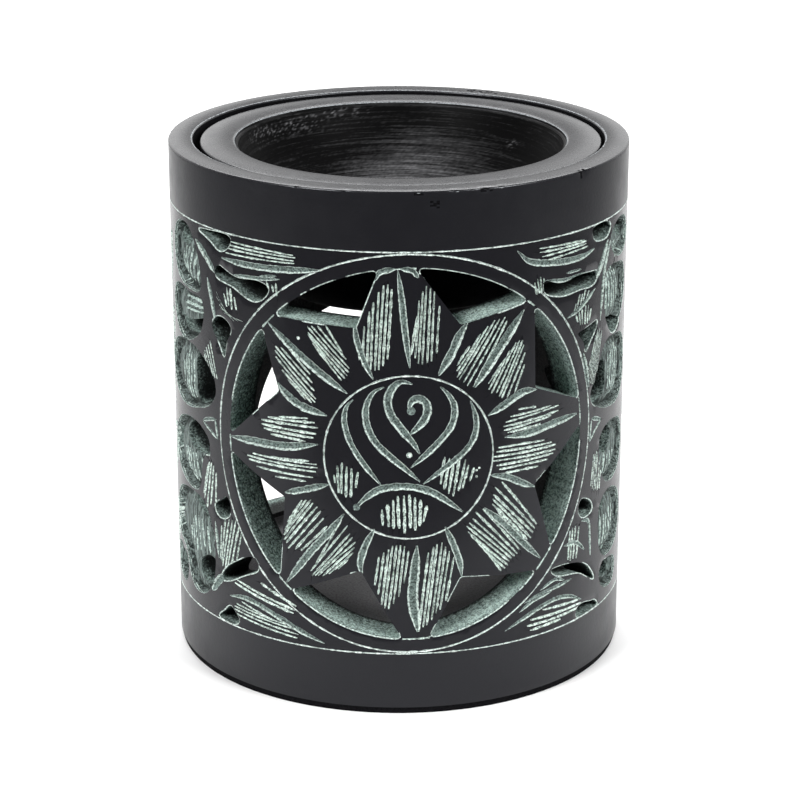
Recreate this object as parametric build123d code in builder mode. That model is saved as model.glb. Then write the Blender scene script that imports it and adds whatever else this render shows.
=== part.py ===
# Carved stone oil burner: a turned, hollowed and pierced body with a lift-out oil bowl.
# Millimetres, +Z up. The origin is the middle of the underside, and the flower faces -Y.
# A turn is in degrees round the body from the middle of the flower, towards +X.
import os
from math import asin, cos, degrees, hypot, radians, sin

from build123d import *

# Body
body_radius = 43.5
body_height = 100.0
wall = 7.0
floor_thickness = 10.0
floor_round = 2.0
foot_rise = 1.3
foot_inset = 0.35
rim_round = 0.35
overrun = 5.0

# Carved band between the two plain bands
top_band = 11.1
foot_band = 12.2
ring_width = 2.95
gap_round = 0.7
groove_width = 1.9
groove_depth = 0.5
leaf_depth = 1.0

# Door for the candle, at the back
door_angle = 185.0
door_width = 52.6
door_height = 44.6
door_corner = 3.0
sill_height = 3.0

# Seat of the bowl in the mouth
seat_width = 2.4
seat_depth = 7.0

# Bowl
bowl_gap = 1.0
bowl_neck_gap = 1.2
bowl_shift_x = 0.35
bowl_shift_y = -0.45
bowl_rim_drop = 0.4
bowl_rim_width = 6.65
bowl_rim_round = 0.4
bowl_lip_round = 1.0
bowl_height = 27.6
bowl_floor = 6.8
bowl_taper = 10.9
bowl_base_round = 1.2

# A round takes at most this share of the width that carries it, and the ring of the flower at
# most this share of the body's radius
round_limit_share = 0.4
ring_limit_share = 0.882

# Openings between the petals: the bearings of both ends on the ring, the bearing of the
# inner corner and its distance as a share of the ring's inner radius
petal_gap_shares = (
    (99, 135, 111.5, 0.737),
    (141, 180, 156, 0.751),
    (185, 226, 202, 0.709),
    (231, 268, 248, 0.672),
    (276, 315, 292, 0.723),
    (323, 362, 342, 0.720),
    (10, 48, 24, 0.746),
    (51, 88, 69.5, 0.743),
)

# Cuts among the leaves beside the flower. Each is a smooth closed outline through its places:
# the turn and the share of the carved band's height
left_cut_shares = (
    ((-46.6, 0.988), (-47.5, 0.966), (-51.0, 0.952), (-54.0, 0.967), (-59.5, 0.986), (-54.5, 0.993),
     (-49.5, 0.996)),
    ((-34.9, 0.887), (-35.9, 0.866), (-39.0, 0.850), (-43.0, 0.860), (-47.0, 0.875), (-52.7, 0.896),
     (-52.3, 0.910), (-47.5, 0.904), (-42.5, 0.898), (-37.3, 0.900)),
    ((-54.3, 0.761), (-53.0, 0.782), (-49.5, 0.787), (-47.1, 0.765), (-48.0, 0.741), (-49.1, 0.714),
     (-49.7, 0.691), (-51.0, 0.712), (-52.8, 0.735)),
    ((-63.3, 0.665), (-60.0, 0.657), (-56.0, 0.628), (-53.9, 0.592), (-55.7, 0.565), (-59.5, 0.548),
     (-63.7, 0.537), (-63.7, 0.578), (-64.0, 0.626)),
    ((-59.1, 0.759), (-60.8, 0.734), (-63.8, 0.714), (-67.8, 0.708), (-72.5, 0.718), (-75.1, 0.751),
     (-72.8, 0.746), (-68.5, 0.741), (-63.5, 0.750)),
    ((-69.0, 0.477), (-64.5, 0.482), (-60.5, 0.469), (-57.7, 0.446), (-56.7, 0.424), (-58.5, 0.419),
     (-61.3, 0.411), (-64.7, 0.408), (-68.5, 0.422), (-70.7, 0.451)),
    ((-48.5, 0.300), (-49.9, 0.334), (-52.0, 0.321), (-54.8, 0.300), (-53.9, 0.279), (-50.8, 0.275)),
    ((-40.1, 0.196), (-39.3, 0.173), (-41.7, 0.155), (-45.5, 0.136), (-49.5, 0.115), (-52.7, 0.110),
     (-51.0, 0.143), (-46.5, 0.175), (-42.8, 0.196)),
    ((-54.1, 0.008), (-51.8, 0.029), (-49.3, 0.048), (-47.7, 0.038), (-46.3, 0.014), (-48.1, 0.003),
     (-51.0, 0.001)),
    ((-67.8, 0.283), (-64.5, 0.295), (-60.5, 0.282), (-57.3, 0.243), (-55.7, 0.201), (-56.7, 0.196),
     (-58.7, 0.227), (-61.9, 0.257), (-65.5, 0.270)),
    ((-64.1, 0.115), (-61.5, 0.142), (-57.9, 0.146), (-56.3, 0.119), (-57.1, 0.086), (-60.0, 0.069),
     (-63.3, 0.083)),
    ((-65.3, 0.952), (-67.5, 0.974), (-71.5, 0.978), (-74.3, 0.961), (-72.9, 0.935), (-69.0, 0.928),
     (-66.3, 0.932)),
    ((-71.7, 0.070), (-73.3, 0.110), (-77.0, 0.104), (-79.5, 0.073), (-77.3, 0.044), (-73.5, 0.042)),
)
right_cut_shares = (
    ((51.9, 0.991), (54.3, 0.997), (57.7, 0.997), (61.1, 0.979), (59.7, 0.960), (55.5, 0.956),
     (52.6, 0.965)),
    ((34.5, 0.896), (34.4, 0.876), (37.1, 0.858), (41.5, 0.851), (47.5, 0.854), (54.1, 0.864),
     (54.7, 0.877), (51.5, 0.887), (47.5, 0.890), (41.5, 0.884), (37.7, 0.889)),
    ((46.4, 0.743), (49.7, 0.751), (54.9, 0.755), (53.5, 0.731), (51.3, 0.708), (49.7, 0.692),
     (48.9, 0.713), (47.6, 0.730)),
    ((52.5, 0.575), (54.1, 0.601), (57.0, 0.626), (60.1, 0.644), (61.5, 0.597), (60.7, 0.555),
     (57.5, 0.538), (54.1, 0.545)),
    ((59.9, 0.751), (62.7, 0.744), (67.5, 0.738), (69.9, 0.724), (67.5, 0.704), (64.5, 0.701),
     (61.9, 0.717)),
    ((57.7, 0.446), (59.7, 0.456), (63.5, 0.459), (66.8, 0.454), (67.3, 0.437), (65.0, 0.415),
     (62.9, 0.394), (60.5, 0.404), (58.7, 0.420)),
    ((48.4, 0.301), (49.4, 0.313), (51.5, 0.309), (53.7, 0.295), (54.5, 0.274), (52.0, 0.263),
     (49.3, 0.269), (48.4, 0.282)),
    ((38.4, 0.158), (40.7, 0.162), (45.5, 0.158), (49.0, 0.149), (51.7, 0.136), (54.9, 0.107),
     (56.3, 0.083), (53.5, 0.095), (49.5, 0.120), (45.5, 0.130), (41.7, 0.136), (39.5, 0.145)),
    ((48.3, 0.008), (48.5, 0.026), (50.7, 0.034), (55.0, 0.026), (57.8, 0.017), (58.7, 0.005),
     (55.5, 0.001), (50.7, 0.001)),
    ((58.4, 0.256), (60.5, 0.284), (63.4, 0.291), (64.1, 0.271), (62.1, 0.249), (59.9, 0.240)),
    ((60.0, 0.095), (61.7, 0.108), (65.5, 0.102), (68.7, 0.078), (68.3, 0.052), (64.5, 0.056),
     (61.7, 0.070)),
    ((67.4, 0.952), (70.3, 0.965), (74.5, 0.962), (76.5, 0.941), (73.5, 0.930), (69.3, 0.932)),
    ((73.1, 0.209), (74.7, 0.219), (76.0, 0.196), (75.9, 0.172), (74.1, 0.167), (73.3, 0.185)),
)
# Cuts further round, alike on both sides
both_cut_shares = (
    ((90.0, 0.905), (88.0, 0.878), (88.5, 0.838), (90.0, 0.815), (91.5, 0.838), (92.0, 0.878)),
    ((90.0, 0.725), (87.8, 0.690), (88.4, 0.638), (90.0, 0.605), (91.6, 0.638), (92.2, 0.690)),
    ((90.0, 0.425), (88.4, 0.392), (87.8, 0.340), (90.0, 0.305), (92.2, 0.340), (91.6, 0.392)),
    ((90.0, 0.205), (88.5, 0.178), (88.0, 0.132), (90.0, 0.105), (92.0, 0.132), (91.5, 0.178)),
    ((112.6, 0.952), (109.7, 0.965), (105.5, 0.962), (103.5, 0.941), (106.5, 0.930), (110.7, 0.932)),
    ((120.1, 0.751), (117.3, 0.744), (112.5, 0.738), (110.1, 0.724), (112.5, 0.704), (115.5, 0.701),
     (118.1, 0.717)),
    ((122.3, 0.446), (120.3, 0.456), (116.5, 0.459), (113.2, 0.454), (112.7, 0.437), (115.0, 0.415),
     (117.1, 0.394), (119.5, 0.404), (121.3, 0.420)),
    ((120.0, 0.095), (118.3, 0.108), (114.5, 0.102), (111.3, 0.078), (111.7, 0.052), (115.5, 0.056),
     (118.3, 0.070)),
)

# Leaves sunk into the wall round those cuts, given as the cuts are
left_leaf_shares = (
    ((-65.5, 0.979), (-61.1, 0.931), (-59.1, 0.871), (-59.5, 0.834), (-63.5, 0.825), (-69.0, 0.829),
     (-74.0, 0.851), (-76.5, 0.897), (-75.5, 0.954), (-70.5, 0.983)),
    ((-58.9, 0.811), (-58.1, 0.774), (-59.5, 0.735), (-64.5, 0.698), (-70.5, 0.688), (-76.3, 0.718),
     (-78.5, 0.767), (-76.0, 0.810), (-69.0, 0.819), (-63.0, 0.816)),
    ((-61.0, 0.678), (-56.1, 0.647), (-53.4, 0.600), (-55.1, 0.563), (-60.5, 0.535), (-68.5, 0.519),
     (-76.0, 0.527), (-81.0, 0.558), (-82.5, 0.604), (-79.5, 0.652), (-73.0, 0.681), (-66.5, 0.687)),
    ((-56.7, 0.449), (-60.0, 0.482), (-65.0, 0.492), (-71.0, 0.485), (-77.0, 0.456), (-81.0, 0.408),
     (-80.0, 0.355), (-74.0, 0.321), (-67.5, 0.309), (-62.5, 0.318), (-61.1, 0.356), (-60.1, 0.402)),
    ((-60.7, 0.292), (-66.5, 0.300), (-74.0, 0.289), (-80.0, 0.253), (-82.0, 0.193), (-79.0, 0.145),
     (-73.0, 0.126), (-69.4, 0.063), (-65.0, 0.039), (-59.5, 0.052), (-56.1, 0.099), (-55.3, 0.167),
     (-56.5, 0.237), (-58.5, 0.274)),
    ((-82.0, 0.106), (-77.5, 0.119), (-73.9, 0.100), (-72.0, 0.070), (-73.1, 0.036), (-77.5, 0.029),
     (-82.0, 0.050)),
)
right_leaf_shares = (
    ((61.7, 0.954), (65.0, 0.978), (70.0, 0.983), (75.5, 0.960), (77.0, 0.919), (72.5, 0.889),
     (66.0, 0.893), (62.5, 0.915)),
    ((59.5, 0.866), (63.0, 0.877), (68.0, 0.872), (73.0, 0.856), (75.5, 0.812), (73.5, 0.754),
     (68.0, 0.720), (63.0, 0.717), (59.8, 0.743), (58.5, 0.799)),
    ((58.0, 0.673), (61.0, 0.694), (65.5, 0.694), (71.5, 0.683), (76.0, 0.649), (77.5, 0.597),
     (75.5, 0.540), (69.0, 0.514), (62.0, 0.518), (56.1, 0.535), (52.9, 0.563), (54.0, 0.600),
     (56.1, 0.639)),
    ((58.3, 0.454), (61.5, 0.472), (66.5, 0.472), (72.5, 0.456), (76.5, 0.409), (76.0, 0.355),
     (71.5, 0.325), (65.5, 0.315), (61.1, 0.329), (58.7, 0.368), (57.5, 0.415)),
    ((59.1, 0.273), (62.5, 0.294), (67.3, 0.290), (72.0, 0.271), (76.0, 0.229), (76.0, 0.167),
     (71.5, 0.130), (65.5, 0.120), (61.1, 0.129), (58.7, 0.167), (57.9, 0.226)),
    ((59.5, 0.090), (62.5, 0.106), (67.5, 0.103), (72.0, 0.076), (71.0, 0.039), (65.5, 0.030),
     (60.9, 0.048)),
)

# Grooves of the flower. Each is its width as a share of the widest, and its line as bearings
# and shares of the ring's inner radius
groove_shares = (
    # Between the petals
    (0.58, ((111, 0.77), (113, 0.67), (114, 0.56), (113, 0.46))),
    (0.79, ((153, 0.77), (155, 0.72), (156, 0.62), (154, 0.47))),
    (0.68, ((200, 0.70), (200, 0.62), (201, 0.54), (201, 0.45))),
    (0.68, ((249, 0.69), (247, 0.63), (245, 0.53), (245, 0.43))),
    (0.63, ((293, 0.72), (294, 0.64), (295, 0.53), (296, 0.43))),
    (0.68, ((341, 0.73), (342, 0.66), (344, 0.54), (344, 0.45))),
    (0.79, ((23, 0.75), (26, 0.67), (26, 0.56), (26, 0.46))),
    (0.84, ((67, 0.77), (68, 0.68), (69, 0.59), (71, 0.46))),
    # Midribs of the petals
    (0.63, ((93, 0.98), (93, 0.86), (92, 0.69), (90, 0.48))),
    (0.95, ((51, 0.95), (50, 0.78), (48, 0.59), (47, 0.49))),
    (0.79, ((6, 0.97), (6, 0.82), (6, 0.65), (8, 0.51))),
    (0.74, ((319, 0.97), (319, 0.83), (321, 0.64), (323, 0.50))),
    (1.00, ((275, 0.48), (273, 0.64), (271, 0.78), (273, 0.96))),
    (0.79, ((229, 0.97), (227, 0.76), (226, 0.60), (223, 0.46))),
    (0.84, ((181, 0.97), (180, 0.85), (179, 0.65), (174, 0.47))),
    (0.79, ((138, 0.97), (138, 0.82), (136, 0.63), (133, 0.46))),
    # Rosebud
    (0.79, ((88, 0.40), (96, 0.41), (103, 0.38), (110, 0.33), (112, 0.26), (108, 0.19), (95, 0.12),
            (22, 0.06))),
    (0.68, ((109, 0.40), (118, 0.39), (128, 0.36), (136, 0.31), (146, 0.25), (157, 0.18), (176, 0.10),
            (250, 0.06), (294, 0.14))),
    (0.58, ((133, 0.42), (140, 0.42), (149, 0.39), (161, 0.33), (173, 0.28), (192, 0.23), (226, 0.21))),
    (0.68, ((68, 0.41), (60, 0.39), (51, 0.36), (43, 0.32), (36, 0.26), (30, 0.19), (16, 0.10),
            (350, 0.05))),
    (0.63, ((43, 0.43), (34, 0.41), (25, 0.38), (16, 0.35), (8, 0.31), (356, 0.25), (334, 0.18),
            (308, 0.16))),
    (0.74, ((226, 0.41), (225, 0.32), (229, 0.23), (251, 0.16), (285, 0.17), (305, 0.25), (312, 0.42))),
)

# Places that follow from the sizes above
chamber_radius = body_radius - wall
mouth_radius = chamber_radius + seat_width
rim_width = body_radius - mouth_radius
seat_level = body_height - seat_depth
carved_height = body_height - top_band - foot_band
ring_radius = min(carved_height / 2, ring_limit_share * body_radius)
ring_inner_radius = ring_radius - ring_width
flower_level = foot_band + carved_height / 2
sill_level = floor_thickness + sill_height
crown_level = sill_level + door_height
spring_level = crown_level - door_width / 2
cut_reach = body_radius + overrun

bowl_top = body_height - bowl_rim_drop
bowl_bottom = bowl_top - bowl_height
bowl_dish = bowl_bottom + bowl_floor
bowl_rim_radius = mouth_radius - bowl_gap
bowl_inner_radius = bowl_rim_radius - bowl_rim_width
bowl_neck_radius = chamber_radius - bowl_neck_gap
bowl_base_radius = bowl_neck_radius - bowl_taper


def wall_plane(turn):
    """Plane on the body's axis that faces out through the wall at this turn."""
    across = (cos(radians(turn)), sin(radians(turn)), 0)
    outward = (sin(radians(turn)), -cos(radians(turn)), 0)
    return Plane(origin=(0, 0, 0), x_dir=across, z_dir=outward)


def flower_point(radius, bearing):
    """Turn and height of a compass point struck on the wall from the flower's middle."""
    across = radius * cos(radians(bearing))
    rise = radius * sin(radians(bearing))
    return 2 * degrees(asin(across / (2 * body_radius))), flower_level + rise


def on_plane(point, facing):
    """Place of a wall point, given as turn and height, on the plane at the facing turn."""
    turn, height = point
    return body_radius * sin(radians(turn - facing)), height


def mirrored(cut):
    """The same cut on the other side of the flower."""
    return tuple((-turn, height_share) for turn, height_share in cut)


def behind(cut):
    """The same cut on the rear half of its side."""
    return tuple((180 - turn, height_share) for turn, height_share in cut)


def side_places(cut):
    """Turns and heights of a cut."""
    return [(turn, foot_band + height_share * carved_height) for turn, height_share in cut]


def groove_places(width, line):
    """Turns and heights round a groove that tapers to both ends of its line."""
    middle = [flower_point(ring_inner_radius * radius_share, bearing) for bearing, radius_share in line]
    flat = [(radians(turn) * body_radius, height) for turn, height in middle]
    left = []
    right = []
    for (x0, y0), (x, y), (x1, y1) in zip(flat[:-2], flat[1:-1], flat[2:]):
        run = hypot(x1 - x0, y1 - y0)
        aside = width / 2 * (y1 - y0) / run
        ahead = width / 2 * (x1 - x0) / run
        left.append((x - aside, y + ahead))
        right.append((x + aside, y - ahead))
    outline = flat[:1] + left + flat[-1:] + right[::-1]
    return [(degrees(x / body_radius), y) for x, y in outline]


def facing_turn(places):
    """Turn at the middle of a cut."""
    turns = [turn for turn, height in places]
    return (min(turns) + max(turns)) / 2


def sunk(outlines, depth):
    """Cutter that sinks these outlines into the outside of the wall, as deep all over."""
    with BuildPart() as cutter:
        for places in outlines:
            facing = facing_turn(places)
            with BuildSketch(wall_plane(facing).offset(chamber_radius)):
                with BuildLine():
                    Spline(*[on_plane(place, facing) for place in places], periodic=True)
                make_face()
            extrude(amount=wall + overrun)
        upright = (Align.CENTER, Align.CENTER, Align.MIN)
        Cylinder(body_radius - depth, body_height, align=upright, mode=Mode.SUBTRACT)
    return cutter.part


side_cuts = left_cut_shares + right_cut_shares + both_cut_shares
side_cuts += tuple(mirrored(cut) for cut in both_cut_shares)
leaves = left_leaf_shares + right_leaf_shares
leaves += tuple(behind(leaf) for leaf in right_leaf_shares)
leaves += tuple(mirrored(behind(leaf)) for leaf in right_leaf_shares)

os.makedirs("parts", exist_ok=True)

# Body: turned outside, chamber and stepped mouth, then pierced
with BuildPart() as body:
    with BuildSketch(Plane.XZ) as body_profile:
        with BuildLine():
            Polyline(
                (0, 0),
                (body_radius - foot_inset, 0),
                (body_radius, foot_rise),
                (body_radius, body_height),
                (mouth_radius, body_height),
                (mouth_radius, seat_level),
                (chamber_radius, seat_level),
                (chamber_radius, floor_thickness),
                (0, floor_thickness),
                close=True,
            )
        make_face()
        rim_corners = body_profile.vertices().group_by(Axis.Y)[-1]
        fillet(rim_corners, min(rim_round, round_limit_share * rim_width))
        floor_corner = body_profile.vertices().sort_by_distance((chamber_radius, floor_thickness))[0]
        fillet(floor_corner, floor_round)
    revolve(axis=Axis.Z)

    # Openings between the ring and the petals
    for start, end, inner, inner_share in petal_gap_shares:
        first = flower_point(ring_inner_radius, start)
        middle = flower_point(ring_inner_radius, (start + end) / 2)
        last = flower_point(ring_inner_radius, end)
        valley = flower_point(ring_inner_radius * inner_share, inner)
        facing = (first[0] + last[0] + valley[0]) / 3
        with BuildSketch(wall_plane(facing)) as petal_gap:
            with BuildLine():
                ThreePointArc(on_plane(first, facing), on_plane(middle, facing), on_plane(last, facing))
                Line(on_plane(last, facing), on_plane(valley, facing))
                Line(on_plane(valley, facing), on_plane(first, facing))
            make_face()
            fillet(petal_gap.vertices(), gap_round)
        extrude(amount=cut_reach, mode=Mode.SUBTRACT)

    # Sunk leaves, and the grooves of the flower
    add(sunk([side_places(leaf) for leaf in leaves], leaf_depth), mode=Mode.SUBTRACT)
    add(sunk([groove_places(share * groove_width, line) for share, line in groove_shares], groove_depth),
        mode=Mode.SUBTRACT)

    # Cuts among the leaves
    for cut in side_cuts:
        places = side_places(cut)
        facing = facing_turn(places)
        with BuildSketch(wall_plane(facing)):
            with BuildLine():
                Spline(*[on_plane(place, facing) for place in places], periodic=True)
            make_face()
        extrude(amount=cut_reach, mode=Mode.SUBTRACT)

    # Door for the candle
    with BuildSketch(wall_plane(door_angle)) as door:
        with BuildLine():
            Polyline(
                (-door_width / 2, spring_level),
                (-door_width / 2, sill_level),
                (door_width / 2, sill_level),
                (door_width / 2, spring_level),
            )
            ThreePointArc((door_width / 2, spring_level), (0, crown_level), (-door_width / 2, spring_level))
        make_face()
        fillet(door.vertices().group_by(Axis.Y)[0], door_corner)
    extrude(amount=cut_reach, mode=Mode.SUBTRACT)

body.part.label = "body"
export_step(body.part, "parts/body.step")

# Bowl: a turned dish whose rim rests on the seat, a little off the middle of the loose mouth
bowl_middle = (bowl_shift_x, bowl_shift_y, 0)
with BuildPart() as bowl:
    with BuildSketch(Plane(origin=bowl_middle, x_dir=(1, 0, 0), z_dir=(0, -1, 0))) as bowl_profile:
        with BuildLine():
            Polyline((0, bowl_dish), (0, bowl_bottom), (bowl_base_radius, bowl_bottom))
            TangentArc((bowl_neck_radius, seat_level), (bowl_base_radius, bowl_bottom), tangent=(0, -1))
            Polyline(
                (bowl_neck_radius, seat_level),
                (bowl_rim_radius, seat_level),
                (bowl_rim_radius, bowl_top),
                (bowl_inner_radius, bowl_top),
            )
            TangentArc((0, bowl_dish), (bowl_inner_radius, bowl_top), tangent=(1, 0))
        make_face()
        base_corner = bowl_profile.vertices().group_by(Axis.Y)[0].sort_by(Axis.X)[-1]
        fillet(base_corner, bowl_base_round)
        lip_corner = bowl_profile.vertices().group_by(Axis.Y)[-1].sort_by(Axis.X)[0]
        fillet(lip_corner, min(bowl_lip_round, round_limit_share * bowl_rim_width))
        rim_corner = bowl_profile.vertices().group_by(Axis.Y)[-1].sort_by(Axis.X)[-1]
        fillet(rim_corner, min(bowl_rim_round, round_limit_share * bowl_rim_width))
    revolve(axis=Axis(bowl_middle, (0, 0, 1)))

bowl.part.label = "bowl"
export_step(bowl.part, "parts/bowl.step")
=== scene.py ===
import math

import bmesh
import bpy
import numpy as np
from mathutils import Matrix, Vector
from mathutils.geometry import delaunay_2d_cdt


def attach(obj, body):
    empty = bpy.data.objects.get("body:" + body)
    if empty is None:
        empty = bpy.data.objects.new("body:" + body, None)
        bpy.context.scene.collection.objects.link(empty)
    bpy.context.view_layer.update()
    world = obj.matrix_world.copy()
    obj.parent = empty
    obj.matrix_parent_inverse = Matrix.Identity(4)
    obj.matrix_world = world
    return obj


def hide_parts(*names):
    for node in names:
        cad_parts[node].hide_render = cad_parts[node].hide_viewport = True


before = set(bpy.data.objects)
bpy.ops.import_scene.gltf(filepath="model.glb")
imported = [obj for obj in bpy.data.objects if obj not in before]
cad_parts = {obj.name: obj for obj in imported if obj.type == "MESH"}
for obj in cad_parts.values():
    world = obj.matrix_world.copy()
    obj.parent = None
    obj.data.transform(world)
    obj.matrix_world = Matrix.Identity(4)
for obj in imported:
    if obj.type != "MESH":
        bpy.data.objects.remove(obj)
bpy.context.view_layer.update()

# Carved stone oil burner. Sizes are in millimetres until a mesh is made.
# A turn is in degrees round the body from the middle of the flower, towards +X.
MM = 0.001

BODY_RADIUS = 43.5
BODY_HEIGHT = 100.0
CHAMBER_RADIUS = 36.5
MOUTH_RADIUS = 38.9
SEAT_LEVEL = 93.0
FLOOR_LEVEL = 10.0
FLOOR_ROUND = 2.0
FOOT_RISE = 1.3
FOOT_INSET = 0.35
RIM_ROUND = 0.35
RIM_CROWN = 0.14

TOP_LINE = 88.9
FOOT_LINE = 12.2
CARVED_HEIGHT = TOP_LINE - FOOT_LINE
RING_RADIUS = CARVED_HEIGHT / 2
RING_INNER = 35.4
RING_LINE_INSET = 0.35
DISC_RADIUS = 15.55
FLOWER_LEVEL = FOOT_LINE + RING_RADIUS
GAP_ROUND = 0.7

DOOR_TURN = 185.0
DOOR_WIDTH = 52.6
DOOR_CORNER = 3.0
SILL = 13.0
CROWN = 57.6
SPRING = CROWN - DOOR_WIDTH / 2

BOWL_MIDDLE = (0.35, -0.45)
BOWL_TOP = 99.6
BOWL_BOTTOM = 72.0
BOWL_DISH = 78.8
BOWL_RIM = 37.9
BOWL_INNER = 31.25
BOWL_NECK = 35.3
BOWL_BASE = 24.4
BOWL_RIM_ROUND = 0.4
BOWL_LIP_ROUND = 0.6
BOWL_CROWN = 0.2
BOWL_BASE_INSET = 0.7
BOWL_BASE_RISE = 0.5

# The wall is unrolled from one seam, away from every cut, to the same seam a full turn on.
SEAM_END = 232.0
SEAM_START = SEAM_END - 360.0
WALL_LOW = 10.0
WALL_HIGH = 92.0
INNER_LOW = FLOOR_LEVEL + FLOOR_ROUND

# The camera stands this far round from the flower's middle, and the tables of strokes below
# count their turns from the camera's axis.
FLOWER_TURN = 2.5

# Openings between the petals: bearings of both ends on the ring, bearing of the inner corner
# and its distance as a share of the ring's inner radius
PETAL_GAPS = (
    (99, 135, 111.5, 0.737),
    (141, 180, 156, 0.751),
    (185, 226, 202, 0.709),
    (231, 268, 248, 0.672),
    (276, 315, 292, 0.723),
    (323, 362, 342, 0.720),
    (10, 48, 24, 0.746),
    (51, 88, 69.5, 0.743),
)

# Cuts among the leaves, each a smooth closed outline: turn and share of the carved height
LEFT_CUTS = (
    ((-46.6, 0.988), (-47.5, 0.966), (-51.0, 0.952), (-54.0, 0.967), (-59.5, 0.986), (-54.5, 0.993),
     (-49.5, 0.996)),
    ((-34.9, 0.887), (-35.9, 0.866), (-39.0, 0.850), (-43.0, 0.860), (-47.0, 0.875), (-52.7, 0.896),
     (-52.3, 0.910), (-47.5, 0.904), (-42.5, 0.898), (-37.3, 0.900)),
    ((-54.3, 0.761), (-53.0, 0.782), (-49.5, 0.787), (-47.1, 0.765), (-48.0, 0.741), (-49.1, 0.714),
     (-49.7, 0.691), (-51.0, 0.712), (-52.8, 0.735)),
    ((-63.3, 0.665), (-60.0, 0.657), (-56.0, 0.628), (-53.9, 0.592), (-55.7, 0.565), (-59.5, 0.548),
     (-63.7, 0.537), (-63.7, 0.578), (-64.0, 0.626)),
    ((-59.1, 0.759), (-60.8, 0.734), (-63.8, 0.714), (-67.8, 0.708), (-72.5, 0.718), (-75.1, 0.751),
     (-72.8, 0.746), (-68.5, 0.741), (-63.5, 0.750)),
    ((-69.0, 0.477), (-64.5, 0.482), (-60.5, 0.469), (-57.7, 0.446), (-56.7, 0.424), (-58.5, 0.419),
     (-61.3, 0.411), (-64.7, 0.408), (-68.5, 0.422), (-70.7, 0.451)),
    ((-48.5, 0.300), (-49.9, 0.334), (-52.0, 0.321), (-54.8, 0.300), (-53.9, 0.279), (-50.8, 0.275)),
    ((-40.1, 0.196), (-39.3, 0.173), (-41.7, 0.155), (-45.5, 0.136), (-49.5, 0.115), (-52.7, 0.110),
     (-51.0, 0.143), (-46.5, 0.175), (-42.8, 0.196)),
    ((-54.1, 0.008), (-51.8, 0.029), (-49.3, 0.048), (-47.7, 0.038), (-46.3, 0.014), (-48.1, 0.003),
     (-51.0, 0.001)),
    ((-67.8, 0.283), (-64.5, 0.295), (-60.5, 0.282), (-57.3, 0.243), (-55.7, 0.201), (-56.7, 0.196),
     (-58.7, 0.227), (-61.9, 0.257), (-65.5, 0.270)),
    ((-64.1, 0.115), (-61.5, 0.142), (-57.9, 0.146), (-56.3, 0.119), (-57.1, 0.086), (-60.0, 0.069),
     (-63.3, 0.083)),
    ((-65.3, 0.952), (-67.5, 0.974), (-71.5, 0.978), (-74.3, 0.961), (-72.9, 0.935), (-69.0, 0.928),
     (-66.3, 0.932)),
    ((-71.7, 0.070), (-73.3, 0.110), (-77.0, 0.104), (-79.5, 0.073), (-77.3, 0.044), (-73.5, 0.042)),
)
RIGHT_CUTS = (
    ((51.9, 0.991), (54.3, 0.997), (57.7, 0.997), (61.1, 0.979), (59.7, 0.960), (55.5, 0.956),
     (52.6, 0.965)),
    ((34.5, 0.896), (34.4, 0.876), (37.1, 0.858), (41.5, 0.851), (47.5, 0.854), (54.1, 0.864),
     (54.7, 0.877), (51.5, 0.887), (47.5, 0.890), (41.5, 0.884), (37.7, 0.889)),
    ((46.4, 0.743), (49.7, 0.751), (54.9, 0.755), (53.5, 0.731), (51.3, 0.708), (49.7, 0.692),
     (48.9, 0.713), (47.6, 0.730)),
    ((52.5, 0.575), (54.1, 0.601), (57.0, 0.626), (60.1, 0.644), (61.5, 0.597), (60.7, 0.555),
     (57.5, 0.538), (54.1, 0.545)),
    ((59.9, 0.751), (62.7, 0.744), (67.5, 0.738), (69.9, 0.724), (67.5, 0.704), (64.5, 0.701),
     (61.9, 0.717)),
    ((57.7, 0.446), (59.7, 0.456), (63.5, 0.459), (66.8, 0.454), (67.3, 0.437), (65.0, 0.415),
     (62.9, 0.394), (60.5, 0.404), (58.7, 0.420)),
    ((48.4, 0.301), (49.4, 0.313), (51.5, 0.309), (53.7, 0.295), (54.5, 0.274), (52.0, 0.263),
     (49.3, 0.269), (48.4, 0.282)),
    ((38.4, 0.158), (40.7, 0.162), (45.5, 0.158), (49.0, 0.149), (51.7, 0.136), (54.9, 0.107),
     (56.3, 0.083), (53.5, 0.095), (49.5, 0.120), (45.5, 0.130), (41.7, 0.136), (39.5, 0.145)),
    ((48.3, 0.008), (48.5, 0.026), (50.7, 0.034), (55.0, 0.026), (57.8, 0.017), (58.7, 0.005),
     (55.5, 0.001), (50.7, 0.001)),
    ((58.4, 0.256), (60.5, 0.284), (63.4, 0.291), (64.1, 0.271), (62.1, 0.249), (59.9, 0.240)),
    ((60.0, 0.095), (61.7, 0.108), (65.5, 0.102), (68.7, 0.078), (68.3, 0.052), (64.5, 0.056),
     (61.7, 0.070)),
    ((67.4, 0.952), (70.3, 0.965), (74.5, 0.962), (76.5, 0.941), (73.5, 0.930), (69.3, 0.932)),
    ((73.1, 0.209), (74.7, 0.219), (76.0, 0.196), (75.9, 0.172), (74.1, 0.167), (73.3, 0.185)),
)
# Cuts further round, alike on both sides
BOTH_CUTS = (
    ((90.0, 0.905), (88.0, 0.878), (88.5, 0.838), (90.0, 0.815), (91.5, 0.838), (92.0, 0.878)),
    ((90.0, 0.725), (87.8, 0.690), (88.4, 0.638), (90.0, 0.605), (91.6, 0.638), (92.2, 0.690)),
    ((90.0, 0.425), (88.4, 0.392), (87.8, 0.340), (90.0, 0.305), (92.2, 0.340), (91.6, 0.392)),
    ((90.0, 0.205), (88.5, 0.178), (88.0, 0.132), (90.0, 0.105), (92.0, 0.132), (91.5, 0.178)),
)
# Which of the cuts on the right are repeated on the rear half of both sides
REAR_CUTS = (11, 4, 5, 10)

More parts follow.
